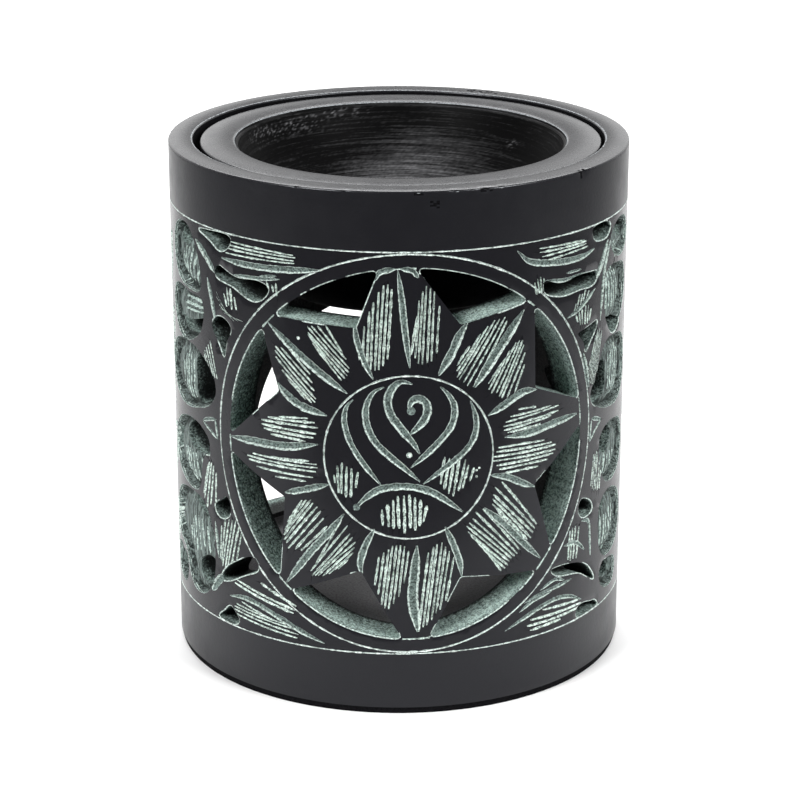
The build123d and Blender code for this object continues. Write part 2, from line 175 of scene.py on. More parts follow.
# Gouges: widest width, then the line as turns and heights
GOUGES = (
    # Between the petals, from each opening's inner corner to the disc
    (1.1, ((-10.4, 76.0), (-9.8, 72.5), (-8.0, 68.5), (-6.0, 65.4))),
    (1.5, ((-30.0, 63.0), (-28.3, 61.4), (-24.0, 59.3), (-17.3, 58.0))),
    (1.3, ((-28.5, 42.0), (-25.0, 42.8), (-21.0, 43.8), (-17.0, 44.8))),
    (1.3, ((-8.9, 27.6), (-9.3, 30.0), (-8.0, 33.5), (-5.8, 36.8))),
    (1.2, ((15.4, 27.0), (14.8, 30.0), (13.2, 33.5), (11.2, 37.0))),
    (1.3, ((35.0, 42.2), (32.0, 43.2), (27.0, 45.2), (22.6, 46.1))),
    (1.5, ((35.0, 61.0), (31.0, 61.0), (26.0, 59.2), (21.7, 57.6))),
    (1.6, ((16.3, 75.6), (14.2, 73.0), (12.5, 70.0), (9.4, 66.0))),
    # Midribs of the petals
    (1.2, ((-0.2, 85.6), (0.6, 81.0), (1.4, 75.0), (2.6, 67.6))),
    (1.8, ((31.0, 76.6), (26.0, 71.5), (21.0, 66.2), (18.3, 63.3))),
    (1.5, ((49.2, 53.9), (41.0, 53.6), (33.0, 52.9), (26.2, 53.0))),
    (1.4, ((37.2, 27.6), (32.0, 31.5), (26.0, 36.4), (21.0, 39.9))),
    (1.9, ((4.4, 33.6), (3.8, 28.0), (3.4, 23.0), (4.6, 16.5))),
    (1.5, ((-28.4, 24.3), (-22.0, 31.0), (-17.0, 35.5), (-13.2, 39.4))),
    (1.6, ((-45.2, 50.2), (-38.0, 50.6), (-28.0, 51.0), (-19.6, 52.3))),
    (1.5, ((-32.6, 74.0), (-26.0, 70.0), (-19.0, 66.0), (-12.2, 62.5))),
    # Rosebud in the disc
    (1.6, ((2.8, 59.2), (2.6, 60.4), (3.3, 61.5), (4.8, 61.8), (6.4, 61.0), (6.8, 59.4), (6.0, 57.7),
           (4.4, 56.3), (2.4, 54.9))),
    (1.5, ((3.2, 64.6), (0.6, 65.0), (-1.5, 63.8), (-2.6, 61.5), (-2.0, 59.0), (-0.3, 57.0), (2.0, 54.7),
           (3.6, 53.2), (5.0, 51.3))),
    (1.3, ((-3.5, 64.0), (-6.0, 62.9), (-7.6, 60.5), (-7.8, 58.0), (-7.0, 55.5), (-5.0, 53.0), (-2.0, 50.8),
           (1.5, 48.5), (5.1, 46.0))),
    (1.1, ((-10.8, 61.4), (-12.4, 60.0), (-13.0, 57.5), (-12.2, 54.5), (-10.5, 51.7), (-8.0, 48.9),
           (-4.2, 45.3))),
    (1.3, ((9.8, 63.9), (11.6, 62.5), (13.1, 60.5), (13.3, 58.3), (12.3, 56.0), (10.0, 53.8), (7.0, 51.5),
           (2.8, 48.7))),
    (1.2, ((17.2, 60.8), (18.3, 58.5), (18.8, 56.3), (18.3, 54.0), (16.8, 52.0), (14.0, 50.0), (10.0, 47.8),
           (5.8, 45.5))),
    (1.4, ((-10.7, 40.3), (-8.0, 42.7), (-4.5, 44.5), (0.0, 45.1), (4.5, 44.8), (9.0, 43.4), (15.6, 39.6))),
    # Leaves above the ring, left then right
    (1.3, ((-47.4, 84.0), (-40.0, 83.9), (-30.0, 84.2), (-18.2, 85.0))),
    (0.7, ((-43.0, 81.5), (-36.0, 81.8), (-29.2, 82.4))),
    (0.5, ((-35.0, 82.3), (-30.0, 82.9))),
    (1.5, ((-58.8, 85.7), (-54.0, 83.3), (-50.2, 80.7))),
    (1.1, ((-53.4, 79.3), (-51.6, 75.0), (-50.4, 71.3))),
    (1.3, ((29.0, 87.6), (33.0, 85.2), (42.0, 84.0), (50.0, 83.8), (55.2, 84.5))),
    (0.7, ((37.2, 81.2), (44.0, 80.4), (50.9, 80.7))),
    (0.5, ((44.0, 81.6), (49.6, 81.5))),
    (1.6, ((55.3, 78.2), (58.5, 80.5), (62.2, 85.0))),
    (0.9, ((44.8, 73.0), (50.0, 74.3), (56.0, 76.8))),
    (1.1, ((51.2, 65.2), (52.6, 62.0), (54.0, 58.0))),
    # Ties beside the ring
    (0.8, ((-57.2, 50.9), (-54.0, 51.8), (-51.0, 52.3))),
    (0.7, ((-51.4, 52.2), (-50.9, 50.4), (-50.4, 48.4))),
    (0.7, ((-57.0, 50.7), (-54.0, 49.8), (-50.6, 48.5))),
    (0.8, ((55.6, 51.5), (58.0, 51.0), (60.8, 50.2))),
    (0.7, ((55.7, 51.4), (55.2, 49.4), (55.0, 47.0))),
    (0.7, ((60.6, 50.2), (57.6, 49.0), (55.2, 47.2))),
    # Leaves below the ring, left then right
    (1.0, ((-52.4, 31.8), (-51.6, 28.0), (-51.0, 24.6))),
    (1.7, ((-49.2, 21.6), (-52.0, 19.6), (-54.6, 17.2))),
    (1.1, ((-47.0, 18.0), (-42.0, 18.7), (-37.0, 18.3), (-30.0, 16.6), (-24.0, 14.8), (-18.4, 13.3))),
    (0.9, ((27.0, 14.7), (32.0, 16.3), (38.0, 17.8), (43.0, 18.3), (48.0, 17.6), (52.8, 15.8))),
    (0.7, ((37.3, 21.1), (42.0, 22.3), (45.6, 21.5))),
    (0.8, ((32.4, 19.4), (38.0, 20.4), (48.4, 21.1))),
    (0.8, ((31.0, 17.8), (35.0, 19.4), (41.0, 20.2))),
    (0.8, ((45.2, 28.4), (50.0, 28.0), (53.8, 25.7))),
    (0.9, ((52.0, 31.9), (55.2, 31.2), (56.0, 28.0), (56.6, 23.8))),
    # Stem up the far right edge
    (1.2, ((64.2, 85.2), (60.6, 79.5), (58.8, 70.0))),
    # Nicks where the top petal's tip meets the ring
    (1.0, ((-5.6, 83.6), (-4.4, 85.2), (-0.6, 85.9))),
    (1.0, ((0.4, 85.9), (3.2, 85.5), (4.6, 84.2))),
)

# Rows of strokes: how many, where they start and where they end, each as three places on a bow
HATCHES = (
    # Petals, from the top one round to the left
    (8, ((-9.4, 72.0), (-5.2, 80.6), (-1.5, 82.3)), ((-9.2, 69.0), (-6.0, 67.3), (-2.6, 69.0))),
    (7, ((4.3, 77.0), (6.4, 82.6), (9.7, 79.0)), ((3.0, 70.3), (5.6, 68.2), (8.9, 70.0))),
    (7, ((-20.8, 71.3), (-21.8, 74.2), (-17.4, 74.7)), ((-13.5, 64.8), (-11.8, 66.5), (-13.4, 70.4))),
    (7, ((-27.0, 63.6), (-30.6, 68.9), (-27.2, 69.9)), ((-22.5, 60.5), (-20.1, 61.1), (-21.4, 65.6))),
    (6, ((-29.6, 56.6), (-35.2, 54.8), (-32.0, 52.8)), ((-21.8, 57.2), (-19.9, 54.9), (-22.5, 52.4))),
    (6, ((-34.0, 48.3), (-40.0, 47.2), (-31.0, 44.8)), ((-21.8, 48.9), (-19.8, 47.3), (-22.5, 44.8))),
    (8, ((-28.0, 36.2), (-28.7, 32.2), (-24.4, 31.3)), ((-24.0, 40.8), (-20.5, 40.6), (-17.9, 36.5))),
    (8, ((-21.2, 28.2), (-20.7, 26.4), (-14.8, 28.4)), ((-14.0, 37.9), (-10.7, 34.4), (-12.2, 30.6))),
    (8, ((-4.7, 31.2), (-1.0, 33.5), (2.2, 32.4)), ((-5.7, 26.0), (-2.8, 21.4), (1.2, 26.0))),
    (7, ((7.2, 32.0), (10.4, 33.4), (13.3, 31.0)), ((4.8, 16.9), (8.0, 18.7), (11.3, 22.4))),
    (8, ((20.6, 39.8), (17.0, 36.8), (19.0, 33.8)), ((31.0, 30.2), (28.4, 28.7), (25.7, 27.2))),
    (6, ((25.8, 44.2), (23.2, 41.8), (24.5, 38.7)), ((35.8, 34.8), (34.5, 32.7), (31.6, 31.9))),
    (7, ((24.8, 51.2), (23.4, 48.7), (26.5, 46.2)), ((38.2, 50.7), (41.4, 48.4), (36.0, 46.2))),
    (6, ((30.0, 57.9), (26.0, 55.4), (27.4, 53.8)), ((35.2, 57.8), (42.3, 56.2), (36.0, 54.3))),
    (8, ((26.0, 68.0), (30.2, 70.8), (31.2, 66.0)), ((21.7, 63.8), (24.0, 61.2), (28.4, 61.0))),
    (7, ((17.2, 71.3), (23.2, 75.5), (26.2, 74.6)), ((14.0, 67.6), (14.6, 65.2), (18.0, 63.7))),
    # Patches on the disc
    (9, ((-3.9, 40.5), (1.2, 43.5), (6.7, 41.0)), ((-3.8, 37.6), (1.5, 36.6), (6.0, 38.0))),
    (6, ((-15.6, 46.7), (-13.0, 49.1), (-10.0, 47.1)), ((-15.4, 45.2), (-13.2, 42.9), (-10.2, 44.3))),
    (7, ((11.0, 50.3), (14.5, 50.1), (18.2, 48.0)), ((10.2, 45.4), (13.0, 43.4), (17.0, 45.5))),
    # Beside the inner ends of the upper side cuts
    (3, ((-32.8, 81.4), (-31.6, 81.6), (-30.2, 81.6)), ((-32.2, 80.2), (-31.2, 79.9), (-30.2, 79.7))),
    (4, ((34.0, 81.2), (35.4, 81.6), (36.8, 81.6)), ((34.6, 79.4), (35.8, 79.0), (37.2, 78.8))),
    # Left of the ring, from the top down
    (4, ((-44.2, 87.5), (-45.0, 86.5), (-46.0, 85.3)), ((-25.6, 87.3), (-25.0, 86.5), (-25.3, 85.7))),
    (4, ((-46.8, 77.2), (-45.0, 78.6), (-43.0, 77.4)), ((-46.0, 75.4), (-44.5, 75.2), (-42.6, 75.0))),
    (5, ((-50.0, 77.0), (-48.8, 75.2), (-47.4, 73.6)), ((-45.4, 73.4), (-43.4, 72.8), (-41.0, 73.2))),
    (6, ((-56.0, 63.2), (-55.0, 65.4), (-53.0, 67.5)), ((-54.8, 61.4), (-52.2, 60.4), (-50.2, 60.2))),
    (5, ((-55.2, 42.5), (-53.6, 43.4), (-51.4, 42.0)), ((-57.6, 36.5), (-56.0, 34.2), (-52.0, 35.4))),
    (7, ((-49.7, 31.5), (-45.4, 33.7), (-42.0, 31.6)), ((-50.2, 25.0), (-48.6, 23.6), (-44.5, 25.0))),
    (3, ((-44.6, 21.1), (-44.0, 21.7), (-36.0, 22.6)), ((-26.6, 18.2), (-26.2, 19.0), (-26.0, 19.9))),
    (5, ((-42.5, 17.6), (-45.7, 16.3), (-45.0, 14.9)), ((-33.0, 16.2), (-26.2, 15.0), (-25.6, 13.6))),
    # Right of the ring, from the top down
    (4, ((35.5, 87.1), (36.0, 86.2), (37.0, 85.0)), ((50.6, 87.1), (51.6, 86.3), (52.2, 85.3))),
    (5, ((47.8, 75.0), (50.4, 77.0), (53.0, 76.8)), ((47.2, 73.6), (49.4, 74.6), (51.6, 75.2))),
    (6, ((47.8, 73.0), (51.0, 74.0), (54.2, 73.4)), ((49.0, 71.2), (51.0, 70.6), (53.5, 71.4))),
    (7, ((56.0, 66.5), (58.0, 68.2), (59.8, 67.4)), ((53.5, 61.5), (55.0, 58.7), (57.2, 58.6))),
    (6, ((57.0, 43.5), (59.0, 44.1), (61.6, 43.4)), ((56.0, 37.8), (58.0, 36.5), (60.6, 36.4))),
    (4, ((47.4, 30.6), (49.0, 31.6), (51.0, 31.1)), ((46.8, 25.0), (48.3, 24.6), (50.1, 25.0))),
    (4, ((38.5, 17.0), (34.0, 15.2), (34.5, 13.6)), ((51.5, 16.2), (52.0, 14.9), (44.5, 13.7))),
)

# The same on the sunk leaves, left and then right
LEFT_LEAF_HATCHES = (
    (6, ((-69.5, 78.0), (-66.0, 76.4), (-60.5, 76.6)), ((-67.0, 82.2), (-63.2, 83.0), (-58.8, 81.0))),
    (4, ((-66.5, 74.4), (-67.5, 72.6), (-67.0, 71.0)), ((-60.0, 74.4), (-57.4, 72.9), (-58.0, 71.4))),
    (5, ((-69.8, 60.0), (-66.5, 62.6), (-62.8, 61.8)), ((-69.8, 55.5), (-66.5, 53.2), (-62.8, 53.8))),
    (6, ((-70.5, 42.8), (-66.5, 43.2), (-60.8, 42.8)), ((-68.0, 38.4), (-64.0, 37.3), (-59.8, 38.6))),
    (6, ((-67.5, 26.5), (-63.5, 30.8), (-57.6, 29.0)), ((-66.5, 19.0), (-62.5, 23.6), (-56.5, 24.2))),
)
RIGHT_LEAF_HATCHES = (
    (5, ((68.0, 83.2), (71.0, 83.0), (75.5, 83.0)), ((67.0, 80.8), (70.5, 80.4), (74.5, 80.6))),
    (6, ((62.6, 76.5), (66.2, 79.4), (71.0, 78.0)), ((63.0, 71.6), (66.5, 70.8), (71.0, 71.0))),
    (5, ((65.8, 61.8), (69.5, 63.2), (73.5, 61.6)), ((66.0, 54.6), (69.5, 53.0), (73.5, 54.2))),
    (5, ((63.0, 41.6), (67.0, 41.8), (71.5, 41.6)), ((64.0, 38.2), (67.5, 37.4), (72.0, 38.2))),
    (6, ((62.4, 29.6), (66.5, 29.8), (72.0, 30.8)), ((63.0, 23.6), (67.0, 22.2), (72.0, 23.2))),
)

# Sunk leaves, given as the cuts are
LEFT_LEAVES = (
    ((-65.5, 0.979), (-61.1, 0.931), (-59.1, 0.871), (-59.5, 0.834), (-63.5, 0.825), (-69.0, 0.829),
     (-74.0, 0.851), (-76.5, 0.897), (-75.5, 0.954), (-70.5, 0.983)),
    ((-58.9, 0.811), (-58.1, 0.774), (-59.5, 0.735), (-64.5, 0.698), (-70.5, 0.688), (-76.3, 0.718),
     (-78.5, 0.767), (-76.0, 0.810), (-69.0, 0.819), (-63.0, 0.816)),
    ((-61.0, 0.678), (-56.1, 0.647), (-53.4, 0.600), (-55.1, 0.563), (-60.5, 0.535), (-68.5, 0.519),
     (-76.0, 0.527), (-81.0, 0.558), (-82.5, 0.604), (-79.5, 0.652), (-73.0, 0.681), (-66.5, 0.687)),
    ((-56.7, 0.449), (-60.0, 0.482), (-65.0, 0.492), (-71.0, 0.485), (-77.0, 0.456), (-81.0, 0.408),
     (-80.0, 0.355), (-74.0, 0.321), (-67.5, 0.309), (-62.5, 0.318), (-61.1, 0.356), (-60.1, 0.402)),
    ((-60.7, 0.292), (-66.5, 0.300), (-74.0, 0.289), (-80.0, 0.253), (-82.0, 0.193), (-79.0, 0.145),
     (-73.0, 0.126), (-69.4, 0.063), (-65.0, 0.039), (-59.5, 0.052), (-56.1, 0.099), (-55.3, 0.167),
     (-56.5, 0.237), (-58.5, 0.274)),
    ((-82.0, 0.106), (-77.5, 0.119), (-73.9, 0.100), (-72.0, 0.070), (-73.1, 0.036), (-77.5, 0.029),
     (-82.0, 0.050)),
)
RIGHT_LEAVES = (
    ((61.7, 0.954), (65.0, 0.978), (70.0, 0.983), (75.5, 0.960), (77.0, 0.919), (72.5, 0.889),
     (66.0, 0.893), (62.5, 0.915)),
    ((59.5, 0.866), (63.0, 0.877), (68.0, 0.872), (73.0, 0.856), (75.5, 0.812), (73.5, 0.754),
     (68.0, 0.720), (63.0, 0.717), (59.8, 0.743), (58.5, 0.799)),
    ((58.0, 0.673), (61.0, 0.694), (65.5, 0.694), (71.5, 0.683), (76.0, 0.649), (77.5, 0.597),
     (75.5, 0.540), (69.0, 0.514), (62.0, 0.518), (56.1, 0.535), (52.9, 0.563), (54.0, 0.600),
     (56.1, 0.639)),
    ((58.3, 0.454), (61.5, 0.472), (66.5, 0.472), (72.5, 0.456), (76.5, 0.409), (76.0, 0.355),
     (71.5, 0.325), (65.5, 0.315), (61.1, 0.329), (58.7, 0.368), (57.5, 0.415)),
    ((59.1, 0.273), (62.5, 0.294), (67.3, 0.290), (72.0, 0.271), (76.0, 0.229), (76.0, 0.167),
     (71.5, 0.130), (65.5, 0.120), (61.1, 0.129), (58.7, 0.167), (57.9, 0.226)),
    ((59.5, 0.090), (62.5, 0.106), (67.5, 0.103), (72.0, 0.076), (71.0, 0.039), (65.5, 0.030),
     (60.9, 0.048)),
)

# Chain of leaves up both sides: turns of its two middles, then heights of its leaves, of the stems
# between them and of its crossing
CHAIN_TURNS = (90.0 + FLOWER_TURN, -90.0 + FLOWER_TURN)
CHAIN_LEAVES = (78.2, 63.2, 40.2, 24.1)
CHAIN_STEMS = ((82.8, 87.6), (69.0, 73.6), (46.0, 57.4), (29.1, 34.4), (13.6, 19.2))
CHAIN_STEM_WIDTH = 0.9
CHAIN_CROSS = 51.6
# A leaf's lower and upper side, its strokes and those at the crossing, as turns and heights from the middle
CHAIN_SIDES = (
    (1.3, ((1.0, -6.4), (4.8, -5.0), (8.2, -1.2), (10.2, 5.2))),
    (1.0, ((2.8, 4.4), (5.4, 4.2), (8.0, 4.6), (10.0, 5.6))),
)
CHAIN_HATCH = (5, ((3.6, 2.8), (4.0, 0.2), (4.2, -3.0)), ((8.0, 3.4), (8.4, 2.4), (7.6, -0.4)))
CROSS_HATCH = (5, ((2.2, 3.6), (4.6, 4.0), (7.2, 2.6)), ((2.2, -3.6), (4.6, -4.0), (7.2, -2.6)))

# Finishes of the stone, in the order of the body's materials
(POLISHED, DULL, INCISED, HATCHED, GROOVE, EDGE, REVEAL, RECESS_SHADE, LEAF, SCORED, RAW, LIT_FLOOR, MATTE_SHADE,
 WORN_AND_HIGHLIGHT, SATIN) = range(15)

# Drilled dots: turn, height, radius and finish
DOTS = (
    (2.5, 51.1, 0.42, HATCHED),
    (2.95, 59.5, 0.6, GROOVE),
    (-10.1, 40.9, 0.5, GROOVE),
    (-24.4, 72.0, 0.26, HATCHED),
    (18.9, 47.4, 0.18, HATCHED),
    (19.6, 47.8, 0.18, HATCHED),
    (18.9, 46.2, 0.18, HATCHED),
)

# Rough patches in the dish: turn, height, spread of both, and depth
ROUGH_PATCHES = (
    (-122, 97.0, 16, 1.8, 0.12),
    (-140, 96.5, 14, 1.6, 0.12),
    (-158, 97.8, 14, 1.2, 0.08),
    (127, 94.0, 3.5, 0.9, 0.16),
)

PATCH_SHADE = 0.35
PATCH_SHARE = 0.25
TURNING_MARK = 0.02

# Tone of the dish, and a painted pool of light low in it
DISH_SHADE = -0.16
DISH_MOTTLE = 0.03
DISH_LIGHT_POOL = 0.34
DISH_LIGHT_LEVEL = 97.0
DISH_LIGHT_SPREAD = 9.0
DISH_LIGHT_REACH = 15.0
DISH_LIGHT_MIDDLE = 4.0

# Chips at the rim and small pits in the wall below it: turn, height, radius and size
CHIPS = (
    (47.0, 99.5, 43.4, 1.3),
    (48.6, 99.7, 43.3, 0.8),
    (156.0, 99.9, 41.0, 1.2),
    (153.5, 99.9, 40.6, 0.9),
    (151.0, 99.9, 41.2, 1.1),
    (148.5, 99.9, 40.8, 0.8),
    (2.0, 99.2, 43.5, 0.8),
    (4.8, 97.6, 43.5, 0.7),
    (6.3, 97.3, 43.5, 0.9),
    (7.0, 98.2, 43.5, 0.5),
    (-12.5, 98.5, 43.5, 0.5),
    (-15.0, 99.8, 43.4, 0.6),
    (10.5, 99.7, 43.4, 0.7),
    (17.5, 99.7, 43.4, 0.9),
    (18.8, 99.5, 43.4, 0.8),
    (22.0, 99.8, 43.3, 0.6),
    (-40.0, 97.9, 43.5, 0.5),
    (-27.0, 99.7, 43.4, 0.6),
)
CHIP_LEVEL = 96.4
CHIP_DEPTH_SHARE = 0.22
CHIP_DROP = 0.6
CHIP_SHOWN = 0.04
CHIP_UNEVEN = (0.2, 1.0)
CHIP_FINISH_SHARES = (0.5, 0.44, 0.06)
# Share of the rim's inner edge that is painted pale as a highlight
RIM_HIGHLIGHT_SHARE = 0.8

# Lines and strokes
BAND_LINE = 0.26
BAND_DEPTH = 0.2
RING_LINE = 0.32
RING_DEPTH = 0.22
TIP_DEPTH = 0.2
LEAF_LINE = 0.18
LEAF_LINE_DEPTH = 0.1
STROKE_WIDTH = 0.5
STROKE_SHARE = 0.52
STROKE_DEPTH = 0.32
STROKE_SLIP = 0.1
STROKE_BEND = 0.05
STROKE_ENDS = (-0.3, 0.5)

# Gouges, sunk leaves and worn edges
GOUGE_DEPTH_SHARE = 0.42
GOUGE_EDGE = 0.64
GOUGE_SHARES = (-1, -GOUGE_EDGE, -0.4, 0.4, GOUGE_EDGE, 1)
UNCUT = 0.01
DOT_SHARES = (0.45, 1.0, 1.3)
LEAF_EDGE_DEPTH = 1.5
LEAF_MIDDLE_DEPTH = 0.5
LEAF_SLOPE = 0.45
LEAF_SWELL = 4.0
LEAF_ROUGHNESS = 0.05
LEAF_ROUGH_FROM = 0.3
HOLLOW_DEPTH = 1.15
EDGE_WIDTH = 0.2
EDGE_DEPTH = 0.12
EDGE_REACH = 0.03
RING_SIDE = 0.4
WEAR_SHOWN = 0.03
NEAR = 0.2
WEAR_RUN = 13
PETAL_WEAR = 0.7
RING_WEAR = -1.0

# Reveals of the openings
REVEAL_BANDS = 6
REVEAL_MARKS = 0.05
REVEAL_GRAIN = 0.035
REVEAL_MOTTLE = 0.012
REVEAL_DUST = 0.08
# Painted shade deeper into the reveals, and painted light where they face up and, between the petals, where
# they face left
REVEAL_SHADE_FALL = 0.11
REVEAL_TOP_LIGHT = 0.03
REVEAL_SIDE_LIGHT = 0.05
CUT_SHADE_FALL = 0.9
CUT_TOP_LIGHT = 0.2
CHAMBER_SHADE = -0.25

# Spacing of the points along lines, and of loose points between them
PETAL_STEP = 0.45
CUT_STEP = 0.5
DOOR_STEP = 0.9
LEAF_STEP = 0.8
GOUGE_STEP = 0.6
RING_STEP = 0.7
DISC_STEP = 0.6
TIP_STEP = 0.5
DISH_STEP = 0.3
BAND_POINTS = 420
WALL_ROWS = 120
CHAMBER_ROWS = 60
WALL_CELL = 0.42
CHAMBER_CELL = 0.9
FRONT_PITCH = 1.15
SIDE_PITCH = 1.8
CHAMBER_PITCH = 2.5
FRONT_TURN = 80.0
RIM_TURNS = 480
FOOT_TURNS = 288
BOWL_TURNS = 360
WELD = 0.001
SHARP_ANGLE = 32.0

# Rows of points on the flat faces
UNDERSIDE_RADII = (36.0, 26.0, 16.0, 6.0)
FLOOR_RADII = (28.0, 21.0, 14.0, 7.0)
BASE_RADII = (20.0, 14.0, 7.0)
FLANGE_LEVELS = (97.0, 95.0, SEAT_LEVEL)

rng = np.random.default_rng(7)


def unroll(turn):
    """Distance along the unrolled wall."""
    return BODY_RADIUS * np.radians(turn)


def on_wall(turn, height, radius):
    """Points of the wall from turns, heights and radii."""
    a = np.radians(turn)
    return np.stack([radius * np.sin(a), -radius * np.cos(a), np.broadcast_to(height, np.shape(a))], -1)


def flower_place(radius, bearing):
    """Turn and height of a compass point struck on the wall from the flower's middle."""
    across = radius * np.cos(np.radians(bearing))
    rise = radius * np.sin(np.radians(bearing))
    return 2 * np.degrees(np.arcsin(across / (2 * BODY_RADIUS))), FLOWER_LEVEL + rise


def spaced(points, step):
    """A line through these points again, evenly spaced."""
    points = np.asarray(points, float)
    run = np.r_[0, np.cumsum(np.hypot(*np.diff(points, axis=0).T))]
    count = max(2, int(round(run[-1] / step)) + 1)
    at = np.linspace(0, run[-1], count)
    return np.stack([np.interp(at, run, points[:, k]) for k in range(2)], -1)


def flowing(points, step):
    """A smooth line through these points."""
    p = np.asarray(points, float)
    if len(p) == 2:
        return spaced(p, step)
    p = np.vstack([2 * p[0] - p[1], p, 2 * p[-1] - p[-2]])
    t = np.linspace(0, 1, 12, endpoint=False)[:, None]
    out = []
    for a, b, c, d in zip(p[:-3], p[1:-2], p[2:-1], p[3:]):
        out.append(0.5 * (2 * b + (c - a) * t + (2 * a - 5 * b + 4 * c - d) * t ** 2
                          + (3 * b - a - 3 * c + d) * t ** 3))
    return spaced(np.vstack(out + [p[-2][None]]), step)


def rounded(outline, corners, radius):
    """A closed outline of straight sides with these corner numbers rounded."""
    outline = [np.asarray(p, float) for p in outline]
    n = len(outline)
    out = []
    for k, p in enumerate(outline):
        if k not in corners:
            out.append(p)
            continue
        before, after = outline[k - 1] - p, outline[(k + 1) % n] - p
        reach_b, reach_a = np.hypot(*before), np.hypot(*after)
        before, after = before / reach_b, after / reach_a
        half = math.acos(np.clip(before @ after, -1, 1)) / 2
        run = radius / math.tan(half)
        for t in np.linspace(0, 1, 7):
            out.append(p + before * run * (1 - t) ** 2 + after * run * t ** 2)
    return np.array(out)


class Opening:
    """One opening through the wall: its outline on the plane that faces out at a turn."""

    def __init__(self, facing, outline, step):
        self.facing = facing
        self.outline = spaced(np.vstack([outline, outline[:1]]), step)[:-1]

    def flat(self):
        """The outline on the unrolled outside of the wall."""
        turns = self.facing + np.degrees(np.arcsin(self.outline[:, 0] / BODY_RADIUS))
        return np.stack([unroll(turns), self.outline[:, 1]], -1)


def on_plane(turn, height, facing):
    """A place of the wall on the plane that faces out at a turn."""
    return np.array([BODY_RADIUS * math.sin(math.radians(turn - facing)), height])


def petal_opening(start, end, inner, share):
    """An opening between two petals, from the ring in to its corner."""
    first = flower_place(RING_INNER, start)
    last = flower_place(RING_INNER, end)
    valley = flower_place(RING_INNER * share, inner)
    facing = (first[0] + last[0] + valley[0]) / 3
    arc = [on_plane(*flower_place(RING_INNER, b), facing) for b in np.linspace(start, end, 40)]
    # Near its ends the arc is straight enough for the rounds of the corners
    outline = [arc[0]] + arc[3:-3] + [arc[-1], on_plane(*valley, facing)]
    last = len(outline) - 1
    return Opening(facing, rounded(outline, (0, last - 1, last), GAP_ROUND), PETAL_STEP)


def closed_curve(places):
    """A smooth closed line through these places."""
    p = np.asarray(places, float)
    n = len(p)
    gap = np.hypot(*(np.roll(p, -1, 0) - p).T)
    slope = (np.roll(p, -1, 0) - p) / gap[:, None]
    system = np.zeros((n, n))
    for k in range(n):
        system[k, k - 1] += gap[k - 1]
        system[k, k] += 2 * (gap[k - 1] + gap[k])
        system[k, (k + 1) % n] += gap[k]
    bend = np.linalg.solve(system, 6 * (slope - np.roll(slope, 1, 0)))
    out = []
    for k in range(n):
        j, h = (k + 1) % n, gap[k]
        t = np.linspace(0, h, 9)[:-1, None]
        out.append(bend[k] * (h - t) ** 3 / (6 * h) + bend[j] * t ** 3 / (6 * h)
                   + (p[k] / h - bend[k] * h / 6) * (h - t) + (p[j] / h - bend[j] * h / 6) * t)
    return np.vstack(out)


def cut_opening(cut):
    """A cut among the leaves."""
    turns = [turn for turn, share in cut]
    facing = (min(turns) + max(turns)) / 2
    places = [on_plane(turn, FOOT_LINE + share * CARVED_HEIGHT, facing) for turn, share in cut]
    return Opening(facing, closed_curve(places), CUT_STEP)


def door_opening():
    """The arched door at the back."""
    half = DOOR_WIDTH / 2
    outline = [(-half, SPRING), (-half, SILL), (half, SILL)]
    outline += [(half * math.cos(t), SPRING + half * math.sin(t)) for t in np.linspace(0, math.pi, 49)[:-1]]
    return Opening(DOOR_TURN, rounded(outline, (1, 2), DOOR_CORNER), DOOR_STEP)


def mirrored(cut):
    """The same cut on the other side of the flower."""
    return tuple((-turn, share) for turn, share in cut)


def behind(cut):
    """The same cut on the rear half of its side."""
    return tuple((180 - turn, share) for turn, share in cut)


openings = [petal_opening(*gap) for gap in PETAL_GAPS]
far_cuts = BOTH_CUTS + tuple(behind(RIGHT_CUTS[k]) for k in REAR_CUTS)
openings += [cut_opening(cut) for cut in LEFT_CUTS + RIGHT_CUTS + far_cuts]
openings += [cut_opening(mirrored(cut)) for cut in far_cuts]
openings.append(door_opening())


# Strokes of the carving: a line on the unrolled wall, its half widths, its depths and its finish
strokes = []


def carve(line, width, depth, finish, tip=0.15, run=0.3, waver=0.0, closed=False):
    """A stroke along a line. It narrows to a share of its width at both ends, which match if closed."""
    s = np.linspace(0, 1, len(line))
    ease = np.sin(np.clip(np.minimum(s, 1 - s) / run, 0, 1) * math.pi / 2)
    shape = tip + (1 - tip) * ease
    wide = shape * np.clip(1 + rng.normal(0, waver, len(line)), 0.4, 1.6)
    if closed:
        wide[-1] = wide[0]
    strokes.append((line, width / 2 * wide, depth * shape, finish))


def as_read(places):
    """Unrolled places from turns counted from the camera's axis and heights."""
    places = np.asarray(places, float)
    return np.stack([unroll(places[:, 0] - FLOWER_TURN), places[:, 1]], -1)


def circle_line(radius, step, start=0, end=360):
    """A part of a circle struck on the wall from the flower's middle, between two bearings."""
    bearings = np.linspace(start, end, int(math.radians(end - start) * radius / step) + 2)
    turn, height = flower_place(radius, bearings)
    return np.stack([unroll(turn), height], -1)


def bow(places, t):
    """Place at a share of the way along a bow through three places."""
    a, b, c = (np.asarray(p) for p in places)
    return a * (1 - t) * (1 - 2 * t) + b * 4 * t * (1 - t) + c * t * (2 * t - 1)


